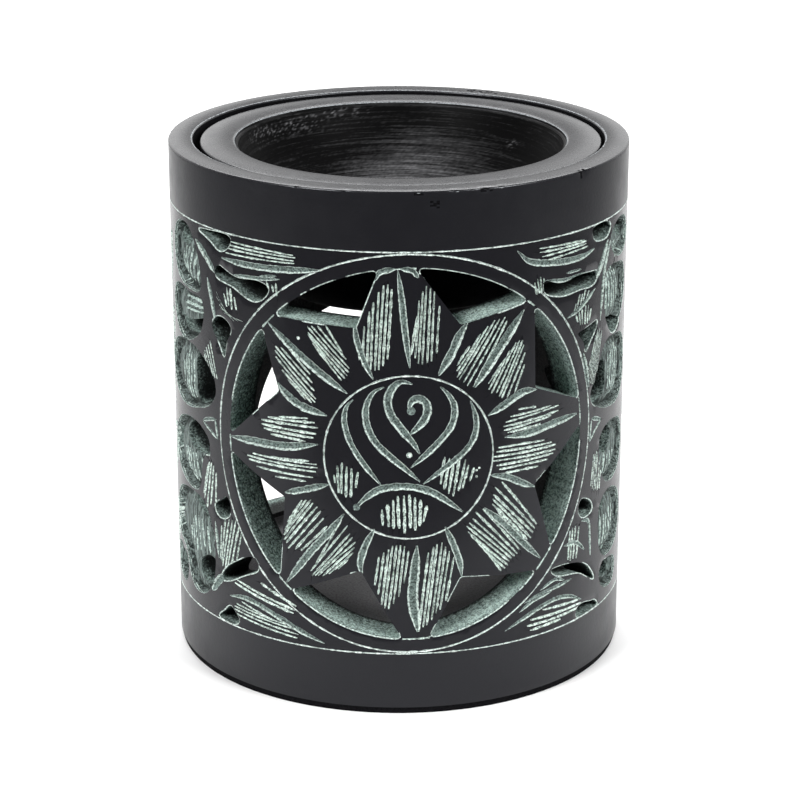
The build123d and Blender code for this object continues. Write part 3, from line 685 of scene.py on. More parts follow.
edge_left, edge_right = unroll(SEAM_START), unroll(SEAM_END)
for level in (FOOT_LINE, TOP_LINE):
    along = np.linspace(edge_left, edge_right, BAND_POINTS)
    carve(np.stack([along, np.full_like(along, level)], -1), BAND_LINE, BAND_DEPTH, INCISED, 1,
          waver=0.25, closed=True)
carve(circle_line(RING_RADIUS - RING_LINE_INSET, RING_STEP), RING_LINE, RING_DEPTH, INCISED, 1, waver=0.25)
carve(circle_line(DISC_RADIUS, DISC_STEP), RING_LINE, RING_DEPTH, INCISED, 1, waver=0.2)
for gap, following in zip(PETAL_GAPS, PETAL_GAPS[1:] + PETAL_GAPS[:1]):
    # Across a petal's tip, from one opening to the next
    end = following[0] + 360 * (following[0] < gap[1] - 180)
    carve(circle_line(RING_INNER, TIP_STEP, gap[1], end), RING_LINE, TIP_DEPTH, EDGE, 1, waver=0.2)


def beside(places, side, turn, height):
    """Places counted from a middle, on one of its two sides."""
    return tuple((turn + side * across, height + rise) for across, rise in places)


gouges, hatches = list(GOUGES), list(HATCHES)
for turn in CHAIN_TURNS:
    gouges += [(CHAIN_STEM_WIDTH, ((turn, low), (turn, high))) for low, high in CHAIN_STEMS]
    for side in (-1, 1):
        gouges += [(width, beside(places, side, turn, height))
                   for width, places in CHAIN_SIDES for height in CHAIN_LEAVES]
        rows = [(CHAIN_HATCH, height) for height in CHAIN_LEAVES] + [(CROSS_HATCH, CHAIN_CROSS)]
        for (count, starts, ends), height in rows:
            hatches.append((count, beside(starts, side, turn, height), beside(ends, side, turn, height)))
for width, places in gouges:
    carve(flowing(as_read(places), GOUGE_STEP), width, GOUGE_DEPTH_SHARE * width, GROOVE, waver=0.06)


def moved(hatch, turn_of):
    """A row of strokes with its turns changed."""
    count, *sides = hatch
    return count, *(tuple((turn_of(turn), height) for turn, height in side) for side in sides)


leaf_hatches = [*LEFT_LEAF_HATCHES, *RIGHT_LEAF_HATCHES]
leaf_hatches += [moved(hatch, lambda turn: 180 + 2 * FLOWER_TURN - turn) for hatch in RIGHT_LEAF_HATCHES]
leaf_hatches += [moved(hatch, lambda turn: turn - 180) for hatch in RIGHT_LEAF_HATCHES]
hatches = [(*hatch, HATCHED) for hatch in hatches] + [(*hatch, SCORED) for hatch in leaf_hatches]
for count, starts, ends, finish in hatches:
    across = np.diff(as_read([bow(starts, t) / 2 + bow(ends, t) / 2 for t in (0, 0.5, 1)]), axis=0)
    along = np.diff(as_read([bow(starts, 0.5), bow(ends, 0.5)]), axis=0)[0]
    breadth = np.abs(across @ np.array([along[1], -along[0]]) / np.hypot(*along)).sum()
    pitch = breadth / (count - 1)
    for t in np.linspace(0, 1, count):
        first = bow(starts, t) + rng.normal(0, STROKE_SLIP, 2)
        last = bow(ends, t) + rng.normal(0, STROKE_SLIP, 2)
        along = (last - first) / np.hypot(*(last - first))
        first = first - along * rng.uniform(*STROKE_ENDS)
        last = last + along * rng.uniform(*STROKE_ENDS)
        middle = (first + last) / 2 + rng.normal(0, STROKE_BEND, 2)
        width = min(STROKE_WIDTH, STROKE_SHARE * pitch) * rng.uniform(0.92, 1.08)
        line = flowing(as_read([first, middle, last]), GOUGE_STEP)
        carve(line, width, STROKE_DEPTH, finish, tip=0.5, run=0.12, waver=0.24)


def side_curve(leaf):
    """The smooth closed outline of a leaf on the unrolled wall."""
    curve = closed_curve([(unroll(turn), FOOT_LINE + share * CARVED_HEIGHT) for turn, share in leaf])
    return spaced(np.vstack([curve, curve[:1]]), LEAF_STEP)[:-1]


leaves = [side_curve(leaf) for leaf in LEFT_LEAVES + RIGHT_LEAVES]
leaves += [side_curve(behind(leaf)) for leaf in RIGHT_LEAVES]
leaves += [side_curve(mirrored(behind(leaf))) for leaf in RIGHT_LEAVES]
for outline in leaves:
    carve(np.vstack([outline, outline[:1]]), LEAF_LINE, LEAF_LINE_DEPTH, GROOVE, 1, waver=0.5)


def from_segment(points, a, b):
    """How far along a segment points lie, as a share, and how far away from it."""
    d = b - a
    t = np.clip(((points - a) @ d) / max(d @ d, 1e-9), 0, 1)
    return t, np.hypot(*(points - a - t[:, None] * d).T)


def distance_to(points, outline):
    """Distance of points from a closed outline."""
    best = np.full(len(points), np.inf)
    for a, b in zip(outline, np.roll(outline, -1, 0)):
        best = np.minimum(best, from_segment(points, a, b)[1])
    return best


def sideways(ahead):
    """Steps of one to the right of these steps."""
    ahead = ahead / np.maximum(np.hypot(*ahead.T), 1e-9)[:, None]
    return np.stack([ahead[:, 1], -ahead[:, 0]], -1)


def leaf_depths(points):
    """How far the sunk leaves lie below the wall at unrolled points. A leaf swells in its middle."""
    depth = np.zeros(len(points))
    for outline in leaves:
        within = np.flatnonzero(inside(points, outline))
        if not len(within):
            continue
        away = distance_to(points[within], outline)
        slope = np.clip(away / LEAF_SLOPE, 0, 1)
        swell = np.clip((away - LEAF_SLOPE) / LEAF_SWELL, 0, 1)
        rise = LEAF_EDGE_DEPTH - LEAF_MIDDLE_DEPTH
        depth[within] = LEAF_EDGE_DEPTH * slope - rise * np.sin(swell * math.pi / 2)
    return depth


def stroke_depths(points):
    """How deep the strokes cut at unrolled points, and the finish that the deepest one leaves."""
    depth = np.zeros(len(points))
    finish = np.full(len(points), POLISHED)
    order = np.argsort(points[:, 0])
    xs = points[order, 0]
    for line, half, deep, kind in strokes:
        reach = half.max()
        low, high = line.min(0) - reach, line.max(0) + reach
        near = order[np.searchsorted(xs, low[0]):np.searchsorted(xs, high[0])]
        near = near[(points[near, 1] > low[1]) & (points[near, 1] < high[1])]
        if not len(near):
            continue
        p = points[near]
        best, out = np.zeros(len(near)), np.ones(len(near))
        for k in range(len(line) - 1):
            t, away = from_segment(p, line[k], line[k + 1])
            share = away / np.maximum(half[k] + t * (half[k + 1] - half[k]), 1e-6)
            cut = (deep[k] + t * (deep[k + 1] - deep[k])) * np.clip(1 - share ** 2, 0, 1)
            out = np.where(cut > best, share, out)
            best = np.maximum(best, cut)
        won = best > depth[near]
        depth[near[won]] = best[won]
        finish[near[won]] = np.where((kind == GROOVE) & (out[won] > GOUGE_EDGE), EDGE, kind)
    for turn, height, radius, kind in DOTS:
        centre = as_read([(turn, height)])[0]
        drilled = 0.8 * radius * np.clip(1.3 - np.hypot(*(points - centre).T) / radius, 0, 1)
        finish[drilled > depth] = kind
        depth = np.maximum(depth, drilled)
    return depth, finish


def inside(points, outline):
    """Which points lie inside a closed outline."""
    found = np.zeros(len(points), bool)
    low, high = outline.min(0), outline.max(0)
    near = np.flatnonzero(((points > low) & (points < high)).all(1))
    p = points[near]
    hit = np.zeros(len(near), bool)
    for a, b in zip(outline, np.roll(outline, -1, 0)):
        if a[1] == b[1]:
            continue
        crosses = (a[1] > p[:, 1]) != (b[1] > p[:, 1])
        x = a[0] + (p[:, 1] - a[1]) * (b[0] - a[0]) / (b[1] - a[1])
        hit ^= crosses & (p[:, 0] < x)
    found[near] = hit
    return found


def offset(outline, distance):
    """A closed outline moved outwards."""
    x, y = outline.T
    area = np.sum(x * np.roll(y, -1) - np.roll(x, -1) * y)
    side = sideways(np.roll(outline, -1, 0) - np.roll(outline, 1, 0)) * np.sign(area)
    return outline + side * distance


class Net:
    """Points and edges for one flat sheet, which is then filled with triangles."""

    def __init__(self, cell):
        self.points, self.edges, self.cell, self.taken = [], [], cell, set()

    def add(self, line, closed=False):
        first = len(self.points)
        self.points += [tuple(p) for p in line]
        last = len(self.points)
        self.edges += [(k, k + 1) for k in range(first, last - 1)]
        if closed:
            self.edges.append((last - 1, first))
        for p in line:
            self.taken.add((int(p[0] // self.cell), int(p[1] // self.cell)))

    def lattice(self, low, high, pitch, skip=()):
        """Loose points in the free room between the lines."""
        rows = int((high[1] - low[1]) / (pitch * 0.866))
        found = []
        for j in range(1, rows):
            y = low[1] + (high[1] - low[1]) * j / rows
            xs = np.arange(low[0] + pitch * (0.5 + 0.5 * (j % 2)), high[0] - 0.4 * pitch, pitch)
            found.append(np.stack([xs, np.full_like(xs, y)], -1))
        found = np.vstack(found)
        for outline in skip:
            found = found[~inside(found, outline)]
        for p in found:
            i, j = int(p[0] // self.cell), int(p[1] // self.cell)
            if not any((i + a, j + b) in self.taken for a in (-1, 0, 1) for b in (-1, 0, 1)):
                self.points.append(tuple(p))

    def fill(self, holes):
        points = [Vector(p) for p in self.points]
        out = delaunay_2d_cdt(points, self.edges, [], 0, 1e-3)
        points = np.array([v[:] for v in out[0]])
        triangles = np.array([f for f in out[2]])
        middles = points[triangles].mean(1)
        drop = np.zeros(len(triangles), bool)
        for outline in holes:
            drop |= inside(middles, outline)
        triangles = triangles[~drop]
        a, b, c = (points[triangles[:, k]] for k in range(3))
        turn = (b[:, 0] - a[:, 0]) * (c[:, 1] - a[:, 1]) - (b[:, 1] - a[:, 1]) * (c[:, 0] - a[:, 0])
        flip = turn < 0
        triangles[flip] = triangles[flip][:, ::-1]
        return points, triangles[np.abs(turn) > 1e-9]


def border_loops(triangles):
    """Closed chains of the edges that only one triangle has, each in the triangle's own sense."""
    owned = {}
    for t in triangles:
        for a, b in ((t[0], t[1]), (t[1], t[2]), (t[2], t[0])):
            if (b, a) in owned:
                del owned[(b, a)]
            else:
                owned[(a, b)] = True
    follow = {}
    for a, b in owned:
        follow.setdefault(a, []).append(b)
    loops = []
    while follow:
        start = next(iter(follow))
        loop = [start]
        here = start
        while True:
            nexts = follow[here]
            onward = nexts.pop()
            if not nexts:
                del follow[here]
            if onward == start:
                break
            loop.append(onward)
            here = onward
        loops.append(loop)
    return loops


class Shell:
    """Collects the points and faces of one mesh. Faces carry a finish number."""

    def __init__(self):
        self.points, self.paler, self.faces, self.finishes = [], [], [], []
        self.count = 0

    def place(self, points, paler=0.0):
        """Adds points, each with how much paler than usual the stone is there."""
        first = self.count
        self.points.append(np.asarray(points, float))
        self.paler.append(np.broadcast_to(paler, len(points)))
        self.count += len(points)
        return np.arange(first, self.count)

    def face(self, corners, finish):
        self.faces.append(tuple(int(k) for k in corners))
        self.finishes.append(finish)

    def turned(self, turns, profile, middle=(0, 0, 0)):
        """Rows of points round an upright axis, one for each radius and height of a profile."""
        return [self.place(on_wall(turns, z, r) + np.array(middle)) for r, z in profile]

    def rows(self, rows, finish, flip=False):
        """Bands of quads between closed rows of point numbers."""
        for low, high in zip(rows[:-1], rows[1:]):
            if flip:
                low, high = low[::-1], high[::-1]
            for k in range(len(low)):
                j = (k + 1) % len(low)
                self.face((low[k], low[j], high[j], high[k]), finish)

    def make(self, name, materials):
        """The finished piece."""
        mesh = bpy.data.meshes.new(name)
        mesh.from_pydata((np.vstack(self.points) * MM).tolist(), [], self.faces)
        for m in materials:
            mesh.materials.append(m)
        mesh.polygons.foreach_set("material_index", self.finishes)
        shade = mesh.attributes.new("paler", "FLOAT", "POINT")
        shade.data.foreach_set("value", np.concatenate(self.paler))
        # Points that two sheets share become one
        joined = bmesh.new()
        joined.from_mesh(mesh)
        bmesh.ops.remove_doubles(joined, verts=joined.verts, dist=WELD * MM)
        joined.to_mesh(mesh)
        joined.free()
        mesh.update()
        mesh.shade_smooth()
        mesh.set_sharp_from_angle(angle=math.radians(SHARP_ANGLE))
        piece = bpy.data.objects.new(name, mesh)
        bpy.context.scene.collection.objects.link(piece)
        return piece


def ring_turns(count):
    """Turns all round from the seam, with the seam at both ends."""
    return SEAM_START + 360.0 * np.arange(count + 1) / count


def sheet_border(net, low, high, low_count, high_count, radius, rise):
    """The four sides of an unrolled sheet."""
    bottom = radius * np.radians(ring_turns(low_count))
    top = radius * np.radians(ring_turns(high_count))
    levels = np.linspace(low, high, rise)
    net.add(np.stack([bottom, np.full_like(bottom, low)], -1))
    net.add(np.stack([top, np.full_like(top, high)], -1))
    for x in (bottom[0], bottom[-1]):
        net.add(np.stack([np.full_like(levels, x), levels], -1))


def rim_profile(outer, inner, top, crown, outer_round, inner_round):
    """Radii and heights across a rim with rounded edges that swells a little towards its middle."""
    quarter = np.linspace(0, math.pi / 2, 6)
    edge = top - crown
    out = [(outer - outer_round * (1 - math.cos(t)), edge - outer_round * (1 - math.sin(t)))
           for t in quarter]
    middle = (outer - outer_round + inner + inner_round) / 2
    half = outer - outer_round - middle
    out += [(middle - half * t, top - crown * t ** 2) for t in np.linspace(-1, 1, 11)[1:-1]]
    out += [(inner + inner_round * (1 - math.sin(t)), edge - inner_round * (1 - math.cos(t)))
            for t in quarter]
    return out


def edge_wear(points, flats):
    """How deep the edges of the openings are worn at unrolled points, most of all towards the ring."""
    worn = np.zeros(len(points))
    for flat in flats:
        low, high = flat.min(0) - NEAR, flat.max(0) + NEAR
        near = np.flatnonzero(((points > low) & (points < high)).all(1))
        runs = np.convolve(np.tile(rng.normal(0, 1, len(flat)), 3), np.ones(WEAR_RUN), "same")
        runs = runs[len(flat):2 * len(flat)] / math.sqrt(WEAR_RUN)
        across = 2 * BODY_RADIUS * np.sin(flat[:, 0] / (2 * BODY_RADIUS))
        petal_side = np.hypot(across, flat[:, 1] - FLOWER_LEVEL) < RING_INNER - RING_SIDE
        wear = EDGE_DEPTH * (runs > np.where(petal_side, PETAL_WEAR, RING_WEAR))
        for a, b, w in zip(flat, np.roll(flat, -1, 0), wear):
            away = from_segment(points[near], a, b)[1]
            worn[near] = np.maximum(worn[near], np.where(away < EDGE_REACH, w, 0))
    return worn


def add_rim(shell):
    """Rim with its chips, and the mouth and seat below it."""
    rim_low = BODY_HEIGHT - RIM_CROWN - RIM_ROUND
    levels = np.r_[np.linspace(WALL_HIGH, CHIP_LEVEL, 4)[:-1], np.linspace(CHIP_LEVEL, rim_low, 10)]
    profile = [(BODY_RADIUS, z) for z in levels]
    wall_rows = len(profile)
    profile += rim_profile(BODY_RADIUS, MOUTH_RADIUS, BODY_HEIGHT, RIM_CROWN, RIM_ROUND, RIM_ROUND)
    turned = ring_turns(RIM_TURNS)[:-1]
    places = np.array([on_wall(turned, z, r) for r, z in profile])
    chips = np.zeros(places.shape[:2])
    for turn, height, radius, size in CHIPS:
        away = np.linalg.norm(places - on_wall(turn, height, radius), axis=2) / size
        chips = np.maximum(chips, CHIP_DEPTH_SHARE * size * np.clip(1 - away ** 2, 0, 1))
    chips *= rng.uniform(*CHIP_UNEVEN, chips.shape)
    inward = -places * (1, 1, 0) / BODY_RADIUS - (0, 0, CHIP_DROP)
    places += inward * chips[..., None]
    rows = [shell.place(p) for p in places]
    # A painted highlight: a pale line along the top of the rim's inner rounded edge, in the worn stone
    highlight_rows = range(len(rows) - 6, len(rows) - 4)
    for k in range(len(rows) - 1):
        for j in range(RIM_TURNS):
            i = (j + 1) % RIM_TURNS
            finish = POLISHED if k < wall_rows else SATIN
            if k in highlight_rows and rng.random() < RIM_HIGHLIGHT_SHARE:
                finish = WORN_AND_HIGHLIGHT
            # Faces of a chip stay polished, or are painted near black as shade in its pit, or pale as worn
            # stone
            if chips[k:k + 2, (j, i)].mean() > CHIP_SHOWN:
                finish = rng.choice((POLISHED, MATTE_SHADE, WORN_AND_HIGHLIGHT), p=CHIP_FINISH_SHARES)
                if finish == WORN_AND_HIGHLIGHT and k < wall_rows:
                    finish = MATTE_SHADE
            shell.face((rows[k][j], rows[k][i], rows[k + 1][i], rows[k + 1][j]), finish)

    # Mouth and seat below the rim, painted near black as shade
    profile = profile[-1:]
    profile += [(MOUTH_RADIUS, z) for z in np.linspace(profile[0][1], SEAT_LEVEL, 5)[1:]]
    profile += [(r, SEAT_LEVEL) for r in np.linspace(MOUTH_RADIUS, CHAMBER_RADIUS, 3)[1:]]
    shell.rows(shell.turned(turned, profile), MATTE_SHADE)


def add_foot(shell):
    """Foot below the wall, and the underside."""
    turned = ring_turns(FOOT_TURNS)[:-1]
    profile = [(BODY_RADIUS, z) for z in np.linspace(WALL_LOW, FOOT_RISE, 6)]
    shell.rows(shell.turned(turned, profile), POLISHED, flip=True)
    profile = profile[-1:] + [(r, 0.0) for r in (BODY_RADIUS - FOOT_INSET, *UNDERSIDE_RADII)]
    rows = shell.turned(turned, profile)
    # The foot's lower edge is painted near black as shade
    shell.rows(rows[:2], MATTE_SHADE, flip=True)
    shell.rows(rows[1:], RAW, flip=True)
    shell.face(rows[-1][::-1], RAW)


def add_floor(shell):
    """Floor of the chamber, painted paler than the chamber's walls as light."""
    turned = ring_turns(FOOT_TURNS)[:-1]
    profile = [(CHAMBER_RADIUS - FLOOR_ROUND * (1 - math.cos(t)),
                FLOOR_LEVEL + FLOOR_ROUND * (1 - math.sin(t))) for t in np.linspace(0, math.pi / 2, 6)]
    profile += [(r, FLOOR_LEVEL) for r in FLOOR_RADII]
    rows = shell.turned(turned, profile)
    shell.rows(rows, LIT_FLOOR)
    shell.face(rows[-1], LIT_FLOOR)


def build_body(materials):
    """The carved and pierced body."""
    shell = Shell()

    # Outside of the wall
    net = Net(WALL_CELL)
    sheet_border(net, WALL_LOW, WALL_HIGH, FOOT_TURNS, RIM_TURNS, BODY_RADIUS, WALL_ROWS)
    flats = [o.flat() for o in openings]
    for flat in flats:
        net.add(flat, closed=True)
        net.add(offset(flat, EDGE_WIDTH), closed=True)
    for outline in leaves:
        net.add(outline, closed=True)
        net.add(offset(outline, -LEAF_SLOPE), closed=True)
    for line, half, _, kind in strokes:
        side = -sideways(np.gradient(line, axis=0)) * half[:, None]
        for share in GOUGE_SHARES if kind == GROOVE else (-1, 0, 1):
            net.add(line + side * share)
    for turn, height, radius, _ in DOTS:
        centre = as_read([(turn, height)])[0]
        for share in DOT_SHARES:
            t = np.linspace(0, 2 * math.pi, 13)[:-1]
            net.add(centre + radius * share * np.stack([np.cos(t), np.sin(t)], -1), closed=True)
    front_left, front_right = unroll(-FRONT_TURN), unroll(FRONT_TURN)
    net.lattice((front_left, WALL_LOW), (front_right, WALL_HIGH), FRONT_PITCH, flats)
    net.lattice((edge_left, WALL_LOW), (front_left, WALL_HIGH), SIDE_PITCH, flats)
    net.lattice((front_right, WALL_LOW), (edge_right, WALL_HIGH), SIDE_PITCH, flats)
    points, triangles = net.fill(flats)
    worn = edge_wear(points, flats)
    sunk = leaf_depths(points)
    sunk += np.where(sunk > LEAF_ROUGH_FROM, rng.normal(0, LEAF_ROUGHNESS, len(points)), 0)
    depth = np.maximum(stroke_depths(points)[0], worn) + sunk
    turns = np.degrees(points[:, 0] / BODY_RADIUS)
    outer = shell.place(on_wall(turns, points[:, 1], BODY_RADIUS - depth))
    middles = points[triangles].mean(1)
    cut, finish = stroke_depths(middles)
    sunk = leaf_depths(middles)
    finish[(cut < UNCUT) & (sunk > 0)] = LEAF
    # The deepest parts of the sunk leaves, along their edges, are painted dark as shade
    finish[(cut < UNCUT) & (sunk > HOLLOW_DEPTH)] = RECESS_SHADE
    finish[(finish == POLISHED) & (worn[triangles].mean(1) > WEAR_SHOWN)] = EDGE
    finish[(finish == POLISHED) & (middles[:, 1] > FOOT_LINE) & (middles[:, 1] < TOP_LINE)] = DULL
    for t, kind in zip(triangles, finish):
        shell.face(outer[t], kind)

    # Reveals of the openings, from the outside to the chamber
    inner_net = Net(CHAMBER_CELL)
    sheet_border(inner_net, INNER_LOW, SEAT_LEVEL, FOOT_TURNS, RIM_TURNS, CHAMBER_RADIUS, CHAMBER_ROWS)
    inner_flats = []
    pending = []
    for loop in border_loops(triangles):
        p = points[loop]
        owner = [k for k, flat in enumerate(flats)
                 if (p.min(0) > flat.min(0) - NEAR).all() and (p.max(0) < flat.max(0) + NEAR).all()]
        if not owner:
            continue
        facing = openings[owner[0]].facing
        angle = np.radians(turns[loop] - facing)
        across = BODY_RADIUS * np.sin(angle)
        inner_turn = facing + np.degrees(np.arcsin(np.clip(across / CHAMBER_RADIUS, -1, 1)))
        start = on_wall(turns[loop], p[:, 1], BODY_RADIUS - depth[loop])
        stop = on_wall(inner_turn, p[:, 1], CHAMBER_RADIUS)
        side = sideways(np.roll(p, -1, 0) - np.roll(p, 1, 0))
        a = np.radians(facing)
        right = np.array([math.cos(a), math.sin(a), 0])
        push = side[:, :1] * right + side[:, 1:] * np.array([0, 0, 1.0])
        rows = [outer[loop]]
        marks = rng.normal(0, 1, len(loop))
        # Painted shade and light: the reveals are darker further in towards the chamber, and paler where
        # they face up and, in the openings between the petals, where they face left; those openings also
        # carry pale dust near the outside
        if owner[0] < len(PETAL_GAPS):
            fall = REVEAL_SHADE_FALL
            dust_and_light = REVEAL_DUST + REVEAL_TOP_LIGHT * side[:, 1] - REVEAL_SIDE_LIGHT * side[:, 0]
        else:
            fall, dust_and_light = CUT_SHADE_FALL, CUT_TOP_LIGHT * side[:, 1]
        for k in range(1, REVEAL_BANDS):
            t = k / REVEAL_BANDS
            rough = REVEAL_MARKS * marks + rng.normal(0, REVEAL_GRAIN, len(loop))
            paler = np.maximum(dust_and_light - fall * t + REVEAL_MOTTLE * marks, CHAMBER_SHADE)
            rows.append(shell.place(start + (stop - start) * t + push * rough[:, None], paler))
        flat = np.stack([CHAMBER_RADIUS * np.radians(inner_turn), p[:, 1]], -1)
        inner_flats.append(flat)
        pending.append((rows, flat))
        inner_net.add(flat, closed=True)

    # Inside of the chamber
    inner_net.lattice((inner_net.points[0][0], INNER_LOW), (inner_net.points[FOOT_TURNS][0], SEAT_LEVEL),
                      CHAMBER_PITCH, inner_flats)
    points_in, triangles_in = inner_net.fill(inner_flats)
    turns_in = np.degrees(points_in[:, 0] / CHAMBER_RADIUS)
    inner = shell.place(on_wall(turns_in, points_in[:, 1], CHAMBER_RADIUS), CHAMBER_SHADE)
    for t in triangles_in:
        shell.face(inner[t][::-1], RAW)
    for rows, flat in pending:
        edge_turns = np.degrees(flat[:, 0] / CHAMBER_RADIUS)
        rows.append(shell.place(on_wall(edge_turns, flat[:, 1], CHAMBER_RADIUS), CHAMBER_SHADE))
        shell.rows(rows, REVEAL, flip=True)
    add_rim(shell)
    add_foot(shell)
    add_floor(shell)
    return shell.make("carved_body", materials)


# Finishes of the bowl, in the order of its materials
RIM, TURNED, UNDER, LIP_HIGHLIGHT = range(4)


def arc_through(start, tangent, end):
    """Middle, radius and both angles of an arc that leaves start along tangent and reaches end."""
    start, tangent, end = (np.asarray(v, float) for v in (start, tangent, end))
    chord = end - start
    normal = np.array([-tangent[1], tangent[0]])
    radius = (chord @ chord) / (2 * (chord @ normal))
    centre = start + normal * radius
    a0 = math.atan2(*(start - centre)[::-1])
    a1 = math.atan2(*(end - centre)[::-1])
    if radius > 0 and a1 < a0:
        a1 += 2 * math.pi
    if radius < 0 and a1 > a0:
        a1 -= 2 * math.pi
    return centre, abs(radius), a0, a1


def build_bowl(materials):
    """The oil bowl, whose outside and dish are arcs."""
    shell = Shell()
    centre, radius, a0, a1 = arc_through((BOWL_NECK, SEAT_LEVEL), (0, -1), (BOWL_BASE, BOWL_BOTTOM))
    outside = [centre + radius * np.array([math.cos(a), math.sin(a)]) for a in np.linspace(a0, a1, 40)]
    outside = [p for p in outside if p[1] > BOWL_BOTTOM + BOWL_BASE_RISE]
    base = [(r, BOWL_BOTTOM) for r in (BOWL_BASE - BOWL_BASE_INSET, *BASE_RADII)]
    centre, radius, a0, a1 = arc_through((0, BOWL_DISH), (1, 0), (BOWL_INNER, BOWL_TOP))
    length = radius * abs(a1 - a0)
    dish = [centre + radius * np.array([math.cos(a), math.sin(a)])
            for a in np.linspace(a0, a1, int(length / DISH_STEP))]
    rim = rim_profile(BOWL_RIM, BOWL_INNER, BOWL_TOP, BOWL_CROWN, BOWL_RIM_ROUND, BOWL_LIP_ROUND)[::-1]
    dish = [p for p in dish[3:] if p[1] < rim[0][1] - 0.2]
    turned = 360.0 * np.arange(BOWL_TURNS) / BOWL_TURNS
    middle = np.array([*BOWL_MIDDLE, 0])

    # Turning marks round the dish, and rough patches in it
    grooves = np.abs(np.cumsum(rng.normal(0, TURNING_MARK, len(dish))))
    grooves = grooves - np.convolve(grooves, np.ones(9) / 9, "same")
    grooves += rng.normal(0, TURNING_MARK, len(dish))
    rows = []
    for p, groove in zip(dish, grooves):
        away = (p - centre) / np.hypot(*(p - centre))
        rough = np.full(BOWL_TURNS, abs(groove))
        # A painted pool of light lies low in the dish about its middle, and the rough patches get paler
        # specks
        across = (p[0] * np.sin(np.radians(turned)) - DISH_LIGHT_MIDDLE) / DISH_LIGHT_REACH
        low = np.clip((DISH_LIGHT_LEVEL - p[1]) / DISH_LIGHT_SPREAD, 0, 1)
        paler = DISH_SHADE + DISH_LIGHT_POOL * low * np.exp(-across ** 2)
        paler += rng.normal(0, DISH_MOTTLE, BOWL_TURNS)
        for turn, height, spread, rise, depth in ROUGH_PATCHES:
            off = (turned - turn + 180) % 360 - 180
            patch = np.exp(-(off / spread) ** 2 - ((p[1] - height) / rise) ** 2)
            rough += depth * patch * rng.uniform(0, 1, BOWL_TURNS)
            paler += PATCH_SHADE * patch * (rng.random(BOWL_TURNS) < PATCH_SHARE)
        radii, heights = p[0] + away[0] * rough, p[1] + away[1] * rough
        rows.append(shell.place(on_wall(turned, heights, radii) + middle, paler))
    shell.face(rows[0], TURNED)
    shell.rows(rows, TURNED, flip=True)

    # Rim, then the flange and the outside down to the base
    rows = rows[-1:] + shell.turned(turned, rim, middle)
    shell.rows(rows[:4], TURNED, flip=True)
    # The lip is painted pale all round as its highlight
    shell.rows(rows[3:5], LIP_HIGHLIGHT, flip=True)
    shell.rows(rows[4:], RIM, flip=True)
    flange = [(BOWL_RIM, z) for z in FLANGE_LEVELS] + [(BOWL_NECK, SEAT_LEVEL)]
    rows = shell.turned(turned, rim[-1:] + flange + outside[1:] + base, middle)
    # The bowl's outside below the rim is painted near black as shade
    shell.rows(rows, UNDER, flip=True)
    shell.face(rows[-1][::-1], UNDER)
    return shell.make("oil_bowl", materials)


STONE_TONE = 0.0095


def nodes_of(name):
    """A new material with its node tree, its surface and the object's own coordinates."""
    material = bpy.data.materials.new(name)
    material.use_nodes = True
    tree = material.node_tree
    tree.nodes.clear()
    out = tree.nodes.new("ShaderNodeOutputMaterial")
    skin = tree.nodes.new("ShaderNodeBsdfPrincipled")
    tree.links.new(skin.outputs[0], out.inputs[0])
    where = tree.nodes.new("ShaderNodeTexCoord")
    return material, tree, skin, where.outputs["Object"]


def noise(tree, where, scale, detail=3.0, rough=0.6):
    """Grain of the stone."""
    n = tree.nodes.new("ShaderNodeTexNoise")
    n.inputs["Scale"].default_value = scale
    n.inputs["Detail"].default_value = detail
    n.inputs["Roughness"].default_value = rough
    tree.links.new(where, n.inputs["Vector"])
    return n.outputs["Fac"]


def ramp(tree, value, stops):
    """Colour of a value, through stops of place and colour."""
    r = tree.nodes.new("ShaderNodeValToRGB")
    elements = r.color_ramp.elements
    while len(elements) < len(stops):
        elements.new(0.5)
    for e, (at, colour) in zip(elements, stops):
        e.position = at
        e.color = (*colour, 1)
    tree.links.new(value, r.inputs[0])
    return r.outputs[0]


def greys(stops):
    """Stops of place and colour from places and tones of grey."""
    return [(at, (tone,) * 3) for at, tone in stops]


def bump(tree, skin, height, strength, distance):
    """Fine roughness of the surface."""
    b = tree.nodes.new("ShaderNodeBump")
    b.inputs["Strength"].default_value = strength
    b.inputs["Distance"].default_value = distance
    tree.links.new(height, b.inputs["Height"])
    tree.links.new(b.outputs[0], skin.inputs["Normal"])


def polished_stone(name, gloss_low, gloss_high, sheen, grain):
    """Smooth dark stone with fine paler specks."""
    material, tree, skin, where = nodes_of(name)
    specks = noise(tree, where, 2600, 4, 0.7)
    colour = ramp(tree, specks, [(at, (STONE_TONE * rise, STONE_TONE * rise, 1.2 * STONE_TONE * rise))
                                 for at, rise in ((0.0, 1.0), (0.66, 1.15), (0.76, 2.4))])
    tree.links.new(colour, skin.inputs["Base Color"])
    gloss = ramp(tree, noise(tree, where, 260, 5), greys(((0.3, gloss_low), (0.7, gloss_high))))
    tree.links.new(gloss, skin.inputs["Roughness"])
    skin.inputs["Specular IOR Level"].default_value = sheen
    skin.inputs["Specular Tint"].default_value = (0.94, 0.96, 1.0, 1)
    bump(tree, skin, noise(tree, where, 1500, 3), grain, 0.0002)
    return material


def graded(tree, grain):
    """The grain with the points' own shade added."""
    shade = tree.nodes.new("ShaderNodeAttribute")
    shade.attribute_name = "paler"
    total = tree.nodes.new("ShaderNodeMath")
    tree.links.new(grain, total.inputs[0])
    tree.links.new(shade.outputs["Fac"], total.inputs[1])
    return total.outputs[0]


def dust_and_painted_light_stone(name, tones):
    """Chiselled stone with dust and painted light and shade on it, in tones from the darkest to the palest.
    """
    material, tree, skin, where = nodes_of(name)
    specks = noise(tree, where, 2400, 4, 0.72)
    colour = ramp(tree, graded(tree, specks), list(zip((0.3, 0.42, 0.54, 0.68), tones)))
    tree.links.new(colour, skin.inputs["Base Color"])
    skin.inputs["Roughness"].default_value = 0.8
    skin.inputs["Specular IOR Level"].default_value = 0.2
    bump(tree, skin, specks, 0.5, 0.0003)
    return material


